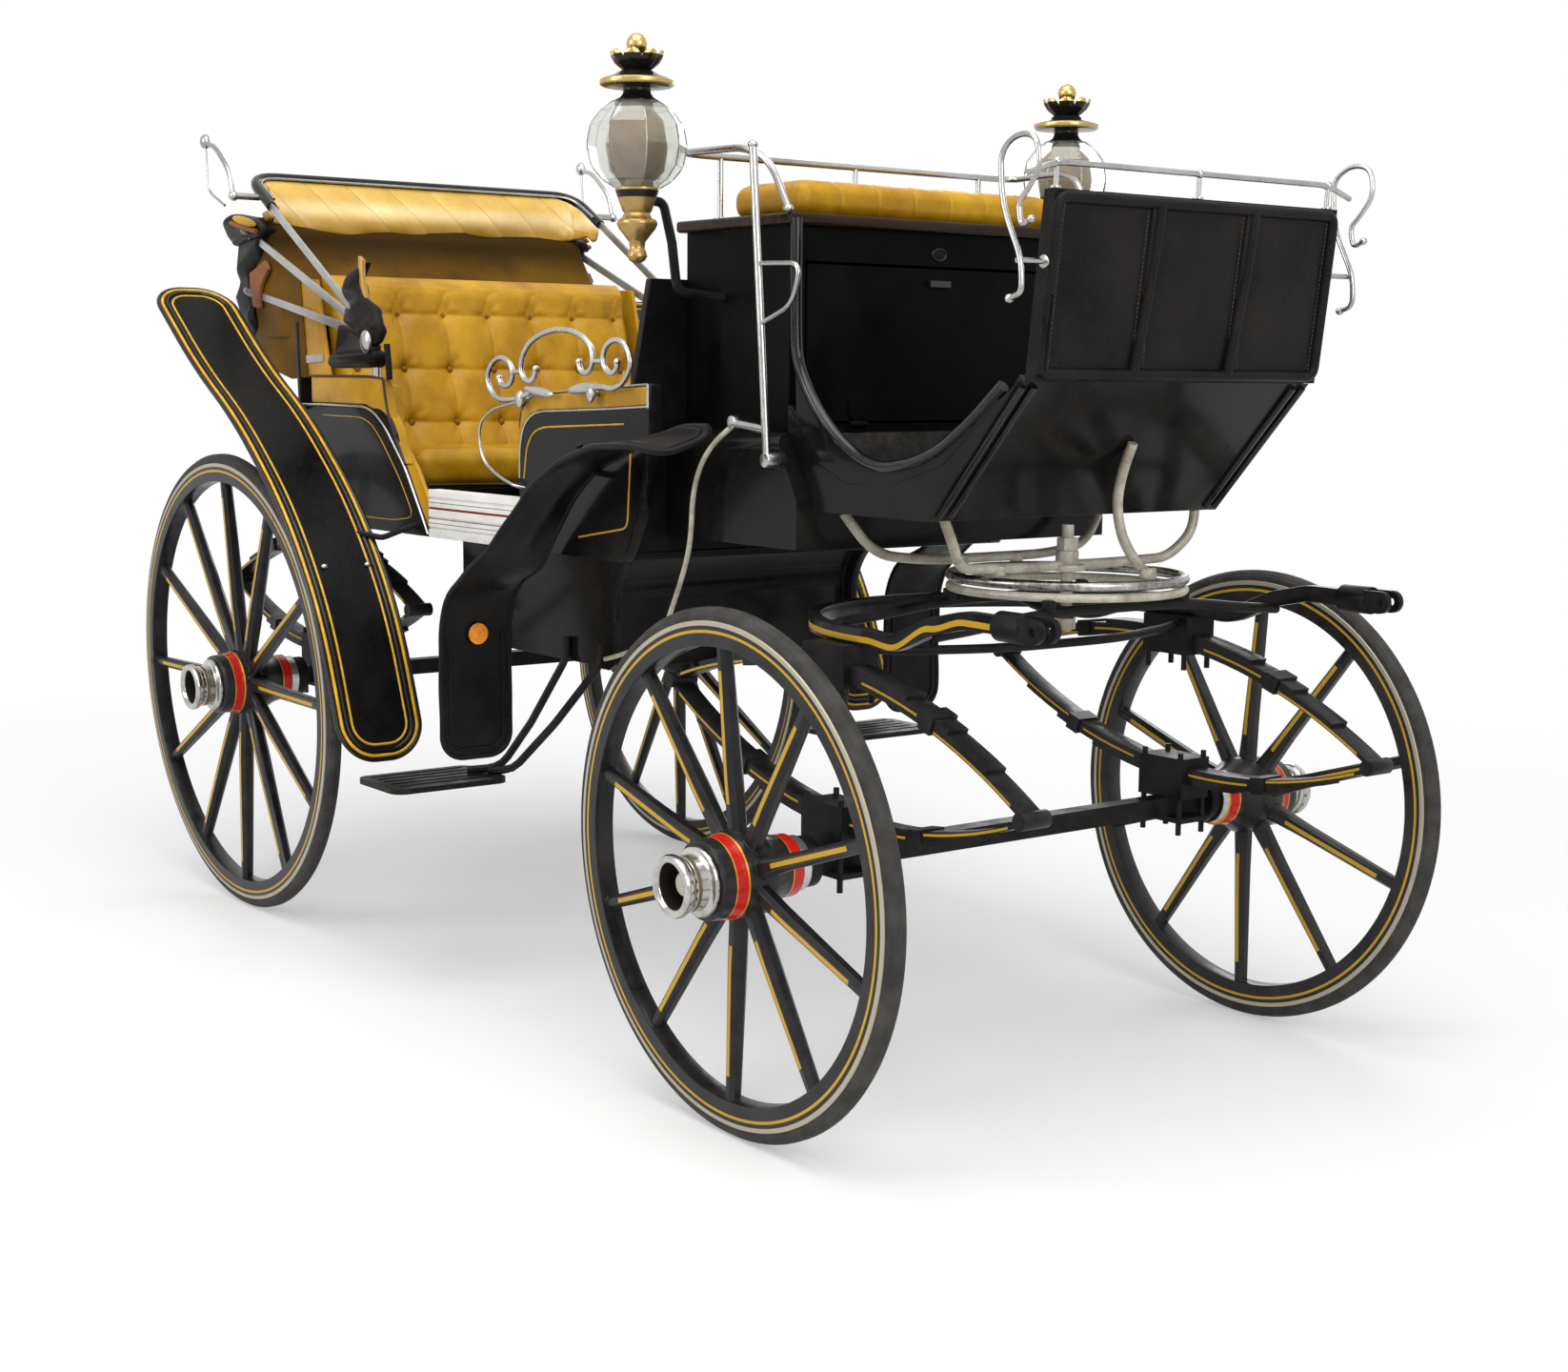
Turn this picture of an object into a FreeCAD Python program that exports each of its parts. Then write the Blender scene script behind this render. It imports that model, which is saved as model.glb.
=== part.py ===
import FreeCAD, Part
import math
import os

# Horse drawn carriage: an open Victoria with a folded hood, a high coachman's seat,
# four dished wooden wheels and full elliptic springs.  Millimetres, +Z up, +X forward,
# +Y to the carriage's left.  Everything is laid out from the front axle, and write()
# moves it so that the origin lies on the ground under the middle of the whole length.

V = FreeCAD.Vector
X_AXIS, Y_AXIS, Z_AXIS = V(1, 0, 0), V(0, 1, 0), V(0, 0, 1)

# ---- driving dimensions: running gear
WHEELBASE = 2080.0
REAR_X = -WHEELBASE           # the rear axle; the body's rear half is laid out from it
TRACK = 1338.0                # between the tyre centres
FRONT_WHEEL_R = 464.0         # over the rubber tyre
REAR_WHEEL_R = 558.0
FRONT_SPOKES, REAR_SPOKES = 10, 12
CAMBER_DEG = 1.7              # the wheels lean out at the top
DISH = 21.0                   # the spokes' feet stand this far inside the rim
TYRE_W, TYRE_H = 34.0, 22.0
TREAD_SHARE = 0.3             # flat part of the tyre's width
FELLOE_W, FELLOE_H = 40.0, 44.0
HUB_R, HUB_BARREL_R = 78.0, 60.0
CAP_R, CAP_LENGTH = 55.0, 66.0
HUB_INNER, HUB_OUTER = 145.0, 58.0   # hub ends, inside and outside the rim's plane
AXLE_ARM_R, ARM_CLEARANCE = 22.0, 0.1
AXLE_BAR = 38.0
SPRING_Y = 430.0
SPRING_W, LEAF_T = 46.0, 8.0
SPRING_HALF, SPRING_CAMBER = 500.0, 118.0
LEAF_HALVES = (500.0, 400.0, 300.0, 190.0)
FRONT_SPRING_TILT = 6.5       # nose down
KING_X = 120.0                # king bolt ahead of the front axle
RING_R, RING_BAR = 212.0, 20.0
RING_Z, RING_GAP = 938.0, 0.5
FUTCHELL_Y, FUTCHELL_Z = 426.0, 868.0
FUTCHELL_END_X, FUTCHELL_END_Z = 485.0, 920.0
FUTCHELL_W, FUTCHELL_T = 30.0, 22.0
FUTCHELL_DIP = 6.0            # the arms sag between the springs and the front transom

# ---- driving dimensions: body
BOOT_HALF_W, WALL = 360.0, 16.0
BOOT_FLOOR_Z = 1070.0
TOE_X, TOE_Z = 150.0, 1070.0
DASH_FOOT_X, DASH_FOOT_Z = 363.0, 1310.0
DASH_TOP_X, DASH_TOP_Z = 399.0, 1614.0
DASH_T = 24.0
SEAT_BOX_FRONT, SEAT_BOX_REAR, SEAT_BOX_TOP = -252.0, -604.0, 1588.0
BULGE_FRONT, BULGE_BOTTOM, BULGE_TOP, BULGE_HALF_W = -182.0, 1000.0, 1212.0, 392.0
BULKHEAD_X = -606.0
BODY_HALF_W = 500.0
SILL_Z, SILL_TOP, FLOOR_T = 952.0, 1058.0, 18.0
WELL_FRONT, WELL_REAR, WELL_BOTTOM, WELL_HALF_W = -925.0, REAR_X + 500, 692.0, 312.0
DOOR_FRONT, DOOR_REAR = -990.0, REAR_X + 688
QUARTER_TOP, REAR_QUARTER_TOP = 1240.0, 1232.0
QUARTER_NOSE_X = -506.0       # the front quarter sweeps forward past the bulkhead
SEAT_FRONT, SEAT_Z = REAR_X + 490, 1046.0
BACK_FOOT_X, BACK_TOP_X, BACK_TOP_Z = REAR_X + 155, REAR_X + 20, 1545.0
REAR_FOOT_X, REAR_TOP_X, REAR_TOP_Z = REAR_X + 20, REAR_X - 58, 1436.0
WING_T = 7.0
LAMP_X, LAMP_Y, LAMP_Z = -475.0, 545.0, 1520.0
HOOD_X, HOOD_Z, HOOD_HALF_W = REAR_X + 420, 1385.0, 488.0

JAW_NOSE = 20.0               # the shaft jaw's round nose beyond its pin
FRONT_REACH = FUTCHELL_END_X + 2 * JAW_NOSE       # the foremost point, ahead of the front axle
SHIFT_X = (WHEELBASE + REAR_WHEEL_R - FRONT_REACH) / 2
SOFT_GAP = 0.3


# ---------------------------------------------------------------- helpers
def bent_path(points, bend, step):
    """The points, with each inner corner rounded to an arc of a radius, in steps of so many degrees."""
    points = [V(*p) for p in points]
    path = [points[0]]
    for before, corner, after in zip(points, points[1:], points[2:]):
        a, b = (before - corner), (after - corner)
        run = 0.47 * min(a.Length, b.Length)
        a.normalize()
        b.normalize()
        turn = math.pi - a.getAngle(b)
        reach = min(bend * math.tan(turn / 2), run)
        radius = reach / math.tan(turn / 2)
        centre = corner + (a + b).normalize() * (radius / math.cos(turn / 2))
        arm, axis = corner + a * reach - centre, b.cross(a)
        count = max(1, math.ceil(math.degrees(turn) / step))
        for k in range(count + 1):
            path.append(centre + FreeCAD.Rotation(axis, math.degrees(turn) * k / count).multVec(arm))
    return path + [points[-1]]


def solid_of(faces):
    return Part.makeSolid(Part.makeShell(faces))


def between(low, high):
    """Flat faces from one closed row of corners to the next."""
    faces = []
    for a, b, c, d in zip(low, low[1:] + low[:1], high[1:] + high[:1], high):
        faces.append(Part.Face(Part.makePolygon([a, b, c, d, a])))
    return faces


def chain(path, first):
    """A bar of straight prisms, mitred at each point of the path, from the first section's corners."""
    rows, heading = [first], (path[1] - path[0]).normalize()
    for here, after in zip(path[1:], path[2:] + [None]):
        turned_to = heading if after is None else (after - here).normalize()
        normal = (heading + turned_to).normalize()
        rows.append([p + heading * ((here - p).dot(normal) / heading.dot(normal)) for p in rows[-1]])
        heading = turned_to
    faces = [Part.Face(Part.makePolygon(row + row[:1])) for row in (rows[0], rows[-1])]
    for low, high in zip(rows, rows[1:]):
        faces += between(low, high)
    return solid_of(faces)


ROD_SIDES, ROD_STEP = 8, 24.0


def rod(points, bend, r, step=ROD_STEP):
    """A round bar, made with flat sides, bent along the points."""
    path = bent_path(points, bend, step)
    heading = (path[1] - path[0]).normalize()
    u = heading.cross(Z_AXIS if abs(heading.z) < 0.9 else X_AXIS).normalize()
    v = heading.cross(u)
    angles = [2 * math.pi * (k + 0.5) / ROD_SIDES for k in range(ROD_SIDES)]
    return chain(path, [path[0] + u * (r * math.cos(a)) + v * (r * math.sin(a)) for a in angles])


def strip(points, bend, y0, y1, thick, step=6.0):
    """A flat bar or plate whose side view runs along the (x, z) points."""
    path = bent_path([(x, y0, z) for x, z in points], bend, step)
    along = (path[1] - path[0]).normalize()
    across, side = V(along.z, 0, -along.x) * (thick / 2), V(0, y1 - y0, 0)
    base = path[0]
    return chain(path, [base - across, base + across, base + across + side, base - across + side])


def box(x0, x1, y0, y1, z0, z1):
    return Part.makeBox(x1 - x0, y1 - y0, z1 - z0, V(x0, y0, z0))


def outline(start, steps):
    """A closed wire from (u, v) points; a step is an end point, or a mid and an end point of an arc."""
    edges, here = [], V(*start)
    for step in steps:
        if isinstance(step[0], tuple):
            mid, end = V(*step[0]), V(*step[1])
            edges.append(Part.Arc(here, mid, end).toShape())
        else:
            end = V(*step)
            edges.append(Part.LineSegment(here, end).toShape())
        here = end
    if here.distanceToPoint(V(*start)) > 0.01:
        edges.append(Part.LineSegment(here, V(*start)).toShape())
    return Part.Wire(edges)


def side_plate(start, steps, y0, y1):
    """A plate whose (x, z) outline is extruded across the carriage."""
    def lift(p):
        return (p[0], y0, p[1])
    steps = [(lift(s[0]), lift(s[1])) if isinstance(s[0], tuple) else lift(s) for s in steps]
    return Part.Face(outline(lift(start), steps)).extrude(V(0, y1 - y0, 0))


def mirror_y(shape):
    return shape.mirror(V(0, 0, 0), Y_AXIS)


def pair(shape):
    """A piece and its mirror image on the other side."""
    return Part.makeCompound([shape, mirror_y(shape)])


def turned(profile):
    """A piece turned on the Y axis from (y, radius) points."""
    points = [V(r, y, 0) for y, r in profile]
    wire = Part.makePolygon([V(0, points[0].y, 0)] + points + [V(0, points[-1].y, 0), V(0, points[0].y, 0)])
    return Part.Face(wire).revolve(V(0, 0, 0), Y_AXIS, 360)


def turned_z(profile, x, y):
    """A piece turned on a vertical axis from (z, radius) points."""
    points = [V(r, 0, z) for z, r in profile]
    wire = Part.makePolygon([V(0, 0, points[0].z)] + points + [V(0, 0, points[-1].z), V(0, 0, points[0].z)])
    shape = Part.Face(wire).revolve(V(0, 0, 0), Z_AXIS, 360)
    return shape.translated(V(x, y, 0))


def ball_profile(r, centre):
    """(height, radius) points of a ball for turned_z, from just above its foot."""
    angles = [math.radians(-60 + 28 * k) for k in range(6)]
    return [(centre + r * math.sin(a), r * math.cos(a)) for a in angles]


def ring(r_in, r_out, y0, y1):
    outer = Part.makeCylinder(r_out, y1 - y0, V(0, y0, 0), Y_AXIS)
    return outer.cut(Part.makeCylinder(r_in, y1 - y0, V(0, y0, 0), Y_AXIS))


def fuse(shapes):
    return shapes[0].multiFuse(shapes[1:]).removeSplitter()


os.makedirs("parts", exist_ok=True)


def write(name, shape):
    shape = shape.translated(V(SHIFT_X, 0, 0))
    solids = shape.Solids
    if not solids or not shape.isValid():
        raise ValueError(name + " isn't a valid solid")
    shape = solids[0] if len(solids) == 1 else Part.makeCompound(solids)
    shape.exportStep("parts/" + name + ".step")
    print(f"{name:28s} solids {len(solids):3d} volume {shape.Volume / 1e6:9.2f} litre")


# ---------------------------------------------------------------- wheels
def wheel_parts(outer_r, spokes):
    """One wheel about the Y axis with its outer face towards +Y: wood, tyre and hub cap."""
    felloe_out = outer_r - TYRE_H
    felloe_in = felloe_out - FELLOE_H
    felloe = ring(felloe_in, felloe_out, -FELLOE_W / 2, FELLOE_W / 2)
    hub = turned([(-HUB_INNER, 50), (-HUB_INNER + 22, 50), (-HUB_INNER + 22, 56), (-HUB_INNER + 44, 56),
                  (-HUB_INNER + 60, HUB_BARREL_R), (-DISH - 34, HUB_R - 4), (-DISH - 26, HUB_R),
                  (-DISH + 26, HUB_R), (-DISH + 34, HUB_R - 4), (HUB_OUTER - 26, 72), (HUB_OUTER, 70)])
    pieces = [felloe, hub]
    foot, head = HUB_R - 14, felloe_in + 12
    for k in range(spokes):
        sections = []
        # columns: radius, lean out of the hub's plane, half width round the wheel, half depth along the axle
        for r, lean, wide, deep in ((foot, -DISH, 19, 15), (foot + 0.3 * (head - foot), -DISH * 0.7, 14, 17),
                                    (head, 0, 12, 13)):
            corner = [V(wide, lean + deep * 0.45, r), V(wide * 0.45, lean + deep, r),
                      V(-wide * 0.45, lean + deep, r), V(-wide, lean + deep * 0.45, r),
                      V(-wide, lean - deep * 0.45, r), V(-wide * 0.45, lean - deep, r),
                      V(wide * 0.45, lean - deep, r), V(wide, lean - deep * 0.45, r)]
            sections.append(Part.makePolygon(corner + corner[:1]))
        spoke = Part.makeLoft(sections, True, True)
        spoke.rotate(V(0, 0, 0), Y_AXIS, 360.0 * k / spokes)
        pieces.append(spoke)
    wood = fuse(pieces)
    wood = wood.cut(Part.makeCylinder(AXLE_ARM_R + ARM_CLEARANCE, HUB_INNER + HUB_OUTER,
                                      V(0, -HUB_INNER, 0), Y_AXIS))
    half = TYRE_W / 2
    tyre = turned([(-half, outer_r - 13), (-half * 0.75, outer_r - 5), (-half * TREAD_SHARE, outer_r),
                   (half * TREAD_SHARE, outer_r), (half * 0.75, outer_r - 5), (half, outer_r - 13)])
    tyre = tyre.cut(Part.makeCylinder(felloe_out, TYRE_W, V(0, -half, 0), Y_AXIS))
    end = HUB_OUTER + CAP_LENGTH
    cap = turned([(HUB_OUTER, 62), (HUB_OUTER + 9, 62), (HUB_OUTER + 13, CAP_R - 6), (end - 18, CAP_R - 8),
                  (end - 14, CAP_R), (end - 3, CAP_R), (end, CAP_R - 4)])
    cap = cap.cut(Part.makeCylinder(CAP_R - 17, CAP_LENGTH - 18, V(0, HUB_OUTER + 18, 0), Y_AXIS))
    nut = Part.makeCylinder(20, 30, V(0, HUB_OUTER + 10, 0), Y_AXIS)
    return {"wheel": wood, "tyre": tyre, "hub_cap": fuse([cap, nut])}


def hub_height(outer_r):
    """The wheel leans, so the outer edge of its flat tread is its lowest point."""
    lean = math.radians(CAMBER_DEG)
    return outer_r * math.cos(lean) + TYRE_W * TREAD_SHARE / 2 * math.sin(lean)


def stand_wheel(shape, axle_x, outer_r, side):
    """Lean a wheel out at the top and stand it on the ground; side is +1 left, -1 right."""
    shape = shape.copy()
    shape.rotate(V(0, 0, 0), X_AXIS, -CAMBER_DEG)
    if side < 0:
        shape.rotate(V(0, 0, 0), Z_AXIS, 180)
    return shape.translated(V(axle_x, side * TRACK / 2, hub_height(outer_r)))


AXLES = (("front", 0.0, FRONT_WHEEL_R, FRONT_SPOKES), ("rear", REAR_X, REAR_WHEEL_R, REAR_SPOKES))
for end_name, axle_x, outer_r, spokes in AXLES:
    parts = wheel_parts(outer_r, spokes)
    for side_name, side in (("left", 1), ("right", -1)):
        for part_name, shape in parts.items():
            write(f"{end_name}_{side_name}_{part_name}", stand_wheel(shape, axle_x, outer_r, side))


# ---------------------------------------------------------------- axles and springs
def axle(axle_x, outer_r):
    """A square bar bent down at the collars, with a round arm through each hub."""
    centre_z = hub_height(outer_r)
    collar_y = TRACK / 2 - HUB_INNER
    drop = HUB_INNER * math.sin(math.radians(CAMBER_DEG))
    bar_end = collar_y - 8
    half = AXLE_BAR / 2
    bar = box(axle_x - half, axle_x + half, -bar_end, bar_end, centre_z - half + drop, centre_z + half + drop)
    arm = Part.makeCylinder(AXLE_ARM_R, HUB_INNER + HUB_OUTER + 15, V(0, -HUB_INNER - 20, 0), Y_AXIS)
    collar = Part.makeCylinder(46, 24, V(0, -HUB_INNER - 26, 0), Y_AXIS)
    arm = arm.fuse(collar).removeSplitter()
    arms = [stand_wheel(arm, axle_x, outer_r, side) for side in (1, -1)]
    return fuse([bar] + arms)


def leaf_pack(up):
    """Half an elliptic spring about its middle, open side at z = 0; up is +1 upper, -1 lower."""
    radius = (SPRING_HALF ** 2 + SPRING_CAMBER ** 2) / (2 * SPRING_CAMBER)
    centre = V(0, 0, SPRING_CAMBER - radius)
    leaves = []
    for k, half in enumerate(LEAF_HALVES):
        r_in, r_out = radius + k * LEAF_T, radius + (k + 1) * LEAF_T
        angle = math.asin(half / radius)

        def at(r, t):
            return V(r * math.sin(t), -SPRING_W / 2, centre.z + r * math.cos(t))
        wire = Part.Wire([
            Part.Arc(at(r_in, -angle), at(r_in, 0), at(r_in, angle)).toShape(),
            Part.LineSegment(at(r_in, angle), at(r_out, angle)).toShape(),
            Part.Arc(at(r_out, angle), at(r_out, 0), at(r_out, -angle)).toShape(),
            Part.LineSegment(at(r_out, -angle), at(r_in, -angle)).toShape()])
        leaves.append(Part.Face(wire).extrude(V(0, SPRING_W, 0)))
    for side in (1, -1):
        clip = box(-16, 16, -SPRING_W / 2 - 5, SPRING_W / 2 + 5, -4, 3 * LEAF_T + 5)
        clip.rotate(V(0, 0, 0), Y_AXIS, side * math.degrees(math.asin(250 / radius)))
        at_clip = 250 / radius
        clip.translate(V(side * 250, 0, centre.z + radius * math.cos(math.asin(at_clip))))
        leaves.append(clip)
    pack = fuse(leaves)
    return pack if up > 0 else pack.mirror(V(0, 0, 0), Z_AXIS)


EYE_R = 15.0
PAD_H = 36.0                  # between axle and spring
PAD_Z = SPRING_CAMBER + LEAF_T * len(LEAF_HALVES)      # top of a leaf pack above the spring's middle
upper_pack, lower_pack = leaf_pack(1), leaf_pack(-1)


def spring(x, z, tilt):
    eyes = []
    for side in (1, -1):
        eyes.append(Part.makeCylinder(EYE_R, SPRING_W + 14, V(side * SPRING_HALF, -SPRING_W / 2 - 7, 0),
                                      Y_AXIS))
    whole = fuse([upper_pack, lower_pack] + eyes)
    whole.rotate(V(0, 0, 0), Y_AXIS, tilt)
    return whole.translated(V(x, SPRING_Y, z))


axle_rise = HUB_INNER * math.sin(math.radians(CAMBER_DEG)) + AXLE_BAR / 2
front_axle_top = hub_height(FRONT_WHEEL_R) + axle_rise
rear_axle_top = hub_height(REAR_WHEEL_R) + axle_rise
front_spring_z = front_axle_top + PAD_H + PAD_Z
rear_spring_z = rear_axle_top + PAD_H + PAD_Z


def clamps(x, spring_z, spring_shape, axle_top, carrier_z):
    """Upper and lower pads of one spring, each with a clip plate and four bolts."""
    wide, long = SPRING_W / 2 + 16, 58
    pieces = []
    # columns: pad's low and high face, clip plate's low and high face, bolt's low and high end
    rows = ((spring_z + SPRING_CAMBER - 4, carrier_z, spring_z + SPRING_CAMBER - 14,
             spring_z + SPRING_CAMBER - 4,
             spring_z + SPRING_CAMBER - 44, carrier_z),
            (axle_top, spring_z - SPRING_CAMBER + 4, spring_z - SPRING_CAMBER + 4,
             spring_z - SPRING_CAMBER + 14,
             axle_top - AXLE_BAR - 34, spring_z - SPRING_CAMBER + 26))
    for pad_low, pad_high, plate_low, plate_high, bolt_low, bolt_high in rows:
        pieces.append(box(x - long, x + long, SPRING_Y - wide, SPRING_Y + wide, pad_low, pad_high))
        pieces.append(box(x - long, x + long, SPRING_Y - wide, SPRING_Y + wide, plate_low, plate_high))
        for bx in (-long + 10, long - 10):
            for by in (-wide + 6, wide - 6):
                pieces.append(Part.makeCylinder(5.5, bolt_high - bolt_low,
                                                V(x + bx, SPRING_Y + by, bolt_low), Z_AXIS))
    under = axle_top - AXLE_BAR
    pieces.append(box(x - long, x + long, SPRING_Y - wide, SPRING_Y + wide, under - 10, under))
    whole = fuse(pieces).cut(spring_shape)
    return Part.makeCompound([s for s in whole.Solids if s.Volume > 2000])


front_spring = spring(0, front_spring_z, FRONT_SPRING_TILT)
rear_spring = spring(REAR_X, rear_spring_z, 0)
write("front_axle", axle(0, FRONT_WHEEL_R))
write("rear_axle", axle(REAR_X, REAR_WHEEL_R))
write("front_springs", pair(front_spring))
write("rear_springs", pair(rear_spring))
front_clamps = pair(clamps(0, front_spring_z, front_spring, front_axle_top, FUTCHELL_Z - FUTCHELL_W / 2))
write("front_spring_clamps", front_clamps)
write("rear_spring_clamps", pair(clamps(REAR_X, rear_spring_z, rear_spring, rear_axle_top, SILL_Z)))


# ---------------------------------------------------------------- forecarriage
RING_BOTTOM = RING_Z - RING_BAR / 2
FUTCHELL_TOP = FUTCHELL_Z + FUTCHELL_W / 2
LOOP_X = 66.0                 # where the futchell's arms run into its rear loop


def futchells():
    """A horseshoe bar: two arms forward to the shafts and one loop behind the king bolt."""
    low, y_in, y_out = FUTCHELL_Z - FUTCHELL_W / 2, FUTCHELL_Y - FUTCHELL_T / 2, FUTCHELL_Y + FUTCHELL_T / 2

    def half_loop(r):
        return Part.Arc(V(LOOP_X, -r, low), V(LOOP_X - r, 0, low), V(LOOP_X, r, low)).toShape()

    join = Part.LineSegment(V(LOOP_X, y_out, low), V(LOOP_X, y_in, low)).toShape()
    join_far = Part.LineSegment(V(LOOP_X, -y_in, low), V(LOOP_X, -y_out, low)).toShape()
    loop = Part.Face(Part.Wire([half_loop(y_in), join, half_loop(y_out), join_far]))
    loop = loop.extrude(V(0, 0, FUTCHELL_W))
    arm = strip([(LOOP_X, FUTCHELL_Z), (LOOP_X + 12, FUTCHELL_Z), (142, FUTCHELL_Z - FUTCHELL_DIP),
                 (246, FUTCHELL_END_Z - 16), (330, FUTCHELL_END_Z + 2), (FUTCHELL_END_X, FUTCHELL_END_Z)],
                120, y_in, y_out, FUTCHELL_W)
    return fuse([loop, arm, mirror_y(arm)])


def shaft_jaw():
    """A round socket on the arm's end with a forked jaw and a cross bore for the shaft's pin."""
    barrel = Part.makeCylinder(25, 64, V(FUTCHELL_END_X - 76, FUTCHELL_Y, FUTCHELL_END_Z), X_AXIS)
    ears = []
    for side in (-1, 1):
        y = FUTCHELL_Y + side * 17 - 6
        ears.append(box(FUTCHELL_END_X - 16, FUTCHELL_END_X + JAW_NOSE, y, y + 12,
                        FUTCHELL_END_Z - JAW_NOSE, FUTCHELL_END_Z + JAW_NOSE))
        ears.append(Part.makeCylinder(JAW_NOSE, 12, V(FUTCHELL_END_X + JAW_NOSE, y, FUTCHELL_END_Z), Y_AXIS))
    jaw = fuse([barrel] + ears)
    return jaw.cut(Part.makeCylinder(8, 60, V(FUTCHELL_END_X + JAW_NOSE, FUTCHELL_Y - 30, FUTCHELL_END_Z),
                                     Y_AXIS))


futchell_frame = futchells()
jaw = shaft_jaw().cut(futchell_frame)
write("futchells", futchell_frame)
write("shaft_jaws", pair(jaw))


def flat_ring(z):
    outer = Part.makeCylinder(RING_R + RING_BAR / 2, RING_BAR, V(KING_X, 0, z - RING_BAR / 2), Z_AXIS)
    band = outer.cut(Part.makeCylinder(RING_R - RING_BAR / 2, RING_BAR, V(KING_X, 0, z - RING_BAR / 2), Z_AXIS))
    return band.makeChamfer(4, [e for e in band.Edges if e.Closed])


TOP_RING_Z = RING_Z + RING_BAR + RING_GAP
TOP_RING_TOP = TOP_RING_Z + RING_BAR / 2
write("lower_ring", flat_ring(RING_Z))
write("top_ring", flat_ring(TOP_RING_Z))

# two transoms on the futchells carry the lower ring, with a plate between them for the king bolt
y_bar = FUTCHELL_Y + FUTCHELL_T / 2
transoms = [box(KING_X + dx - 16, KING_X + dx + 16, -y_bar, y_bar, FUTCHELL_TOP, RING_BOTTOM)
            for dx in (-130, 130)]
plate = box(KING_X - 130, KING_X + 130, -38, 38, FUTCHELL_TOP, FUTCHELL_TOP + 10)
KING_R, KING_CLEARANCE = 11.0, 0.1
plate = fuse(transoms + [plate]).cut(
    Part.makeCylinder(KING_R + KING_CLEARANCE, 60, V(KING_X, 0, FUTCHELL_TOP - 20), Z_AXIS))

# a bowed iron crosses below the king bolt from one spring clamp to the other
cross_z = FUTCHELL_Z - FUTCHELL_W / 2 - 12
cross = rod([(30, -SPRING_Y + 39, cross_z), (60, -330, cross_z - 4), (KING_X, -150, cross_z - 6),
             (KING_X, 150, cross_z - 6), (60, 330, cross_z - 4), (30, SPRING_Y - 39, cross_z)], 200, 9)
cross = cross.cut(front_clamps)
cross = max(cross.Solids, key=lambda solid: solid.Volume)
write("transoms", Part.makeCompound(plate.cut(futchell_frame).Solids + [cross]))


# ---------------------------------------------------------------- fifth wheel irons on the body
IRON_R = 9.5
iron_z = TOP_RING_TOP + IRON_R
BOSS_R = 21.0
boss_top = iron_z + 34
hoop_half = [(TOE_X - 14, RING_R + 106, BOOT_FLOOR_Z), (TOE_X - 4, RING_R + 88, iron_z + 50),
             (KING_X + 2, RING_R + 56, iron_z), (KING_X, 120, iron_z)]
front_hoop = rod([(x, -y, z) for x, y, z in hoop_half] + hoop_half[::-1], 46, IRON_R)
rear_x = KING_X - RING_R
rear_hoop = rod([(rear_x - 30, -330, BOOT_FLOOR_Z), (rear_x - 14, -270, iron_z + 14), (rear_x, -150, iron_z),
                 (rear_x, 150, iron_z), (rear_x - 14, 270, iron_z + 14), (rear_x - 30, 330, BOOT_FLOOR_Z)],
                60, IRON_R)
toe_slope = (DASH_FOOT_X - TOE_X) / (DASH_FOOT_Z - TOE_Z)
stay_top_z = TOE_Z + 122
front_x = KING_X + RING_R
front_stay = rod([(TOE_X + 122 * toe_slope + 6, 0, stay_top_z), (TOE_X + 84, 0, TOE_Z + 30),
                  (TOE_X + 86, 0, iron_z + 34), (front_x - 26, 0, iron_z), (front_x + 6, 0, iron_z)], 40,
                 IRON_R)
boss = Part.makeCylinder(BOSS_R, 40, V(KING_X, 0, iron_z - 12), Z_AXIS)
boss = boss.cut(Part.makeCylinder(KING_R, 60, V(KING_X, 0, iron_z - 20), Z_AXIS))
toe_face = Part.Face(Part.makePolygon([V(TOE_X, -400, TOE_Z), V(DASH_FOOT_X, -400, DASH_FOOT_Z),
                                       V(TOE_X, -400, 1400),
                                       V(TOE_X, -400, TOE_Z)])).extrude(V(0, 800, 0))
irons = fuse([front_hoop, boss]).cut(Part.makeCylinder(KING_R, 200, V(KING_X, 0, 900), Z_AXIS))
fifth_irons = Part.makeCompound(irons.Solids + rear_hoop.Solids + front_stay.cut(toe_face).Solids)


def hexagon(r, z0, z1, x, y):
    corners = [V(x + r * math.cos(math.radians(60 * k)), y + r * math.sin(math.radians(60 * k)),
                 z0) for k in range(6)]
    return Part.Face(Part.makePolygon(corners + corners[:1])).extrude(V(0, 0, z1 - z0))


king_low = FUTCHELL_TOP - 26
bolt = Part.makeCylinder(KING_R, boss_top + 40 - king_low, V(KING_X, 0, king_low), Z_AXIS)
nuts = [hexagon(20, iron_z + 28, iron_z + 50, KING_X, 0),
        hexagon(19, king_low + 4, FUTCHELL_TOP - 2, KING_X, 0)]
write("king_bolt", fuse([bolt] + nuts))


# ---------------------------------------------------------------- boot and coachman's seat
BOOT_IN = BOOT_HALF_W - WALL
SEAT_FRONT_IN = SEAT_BOX_FRONT - WALL


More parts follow.
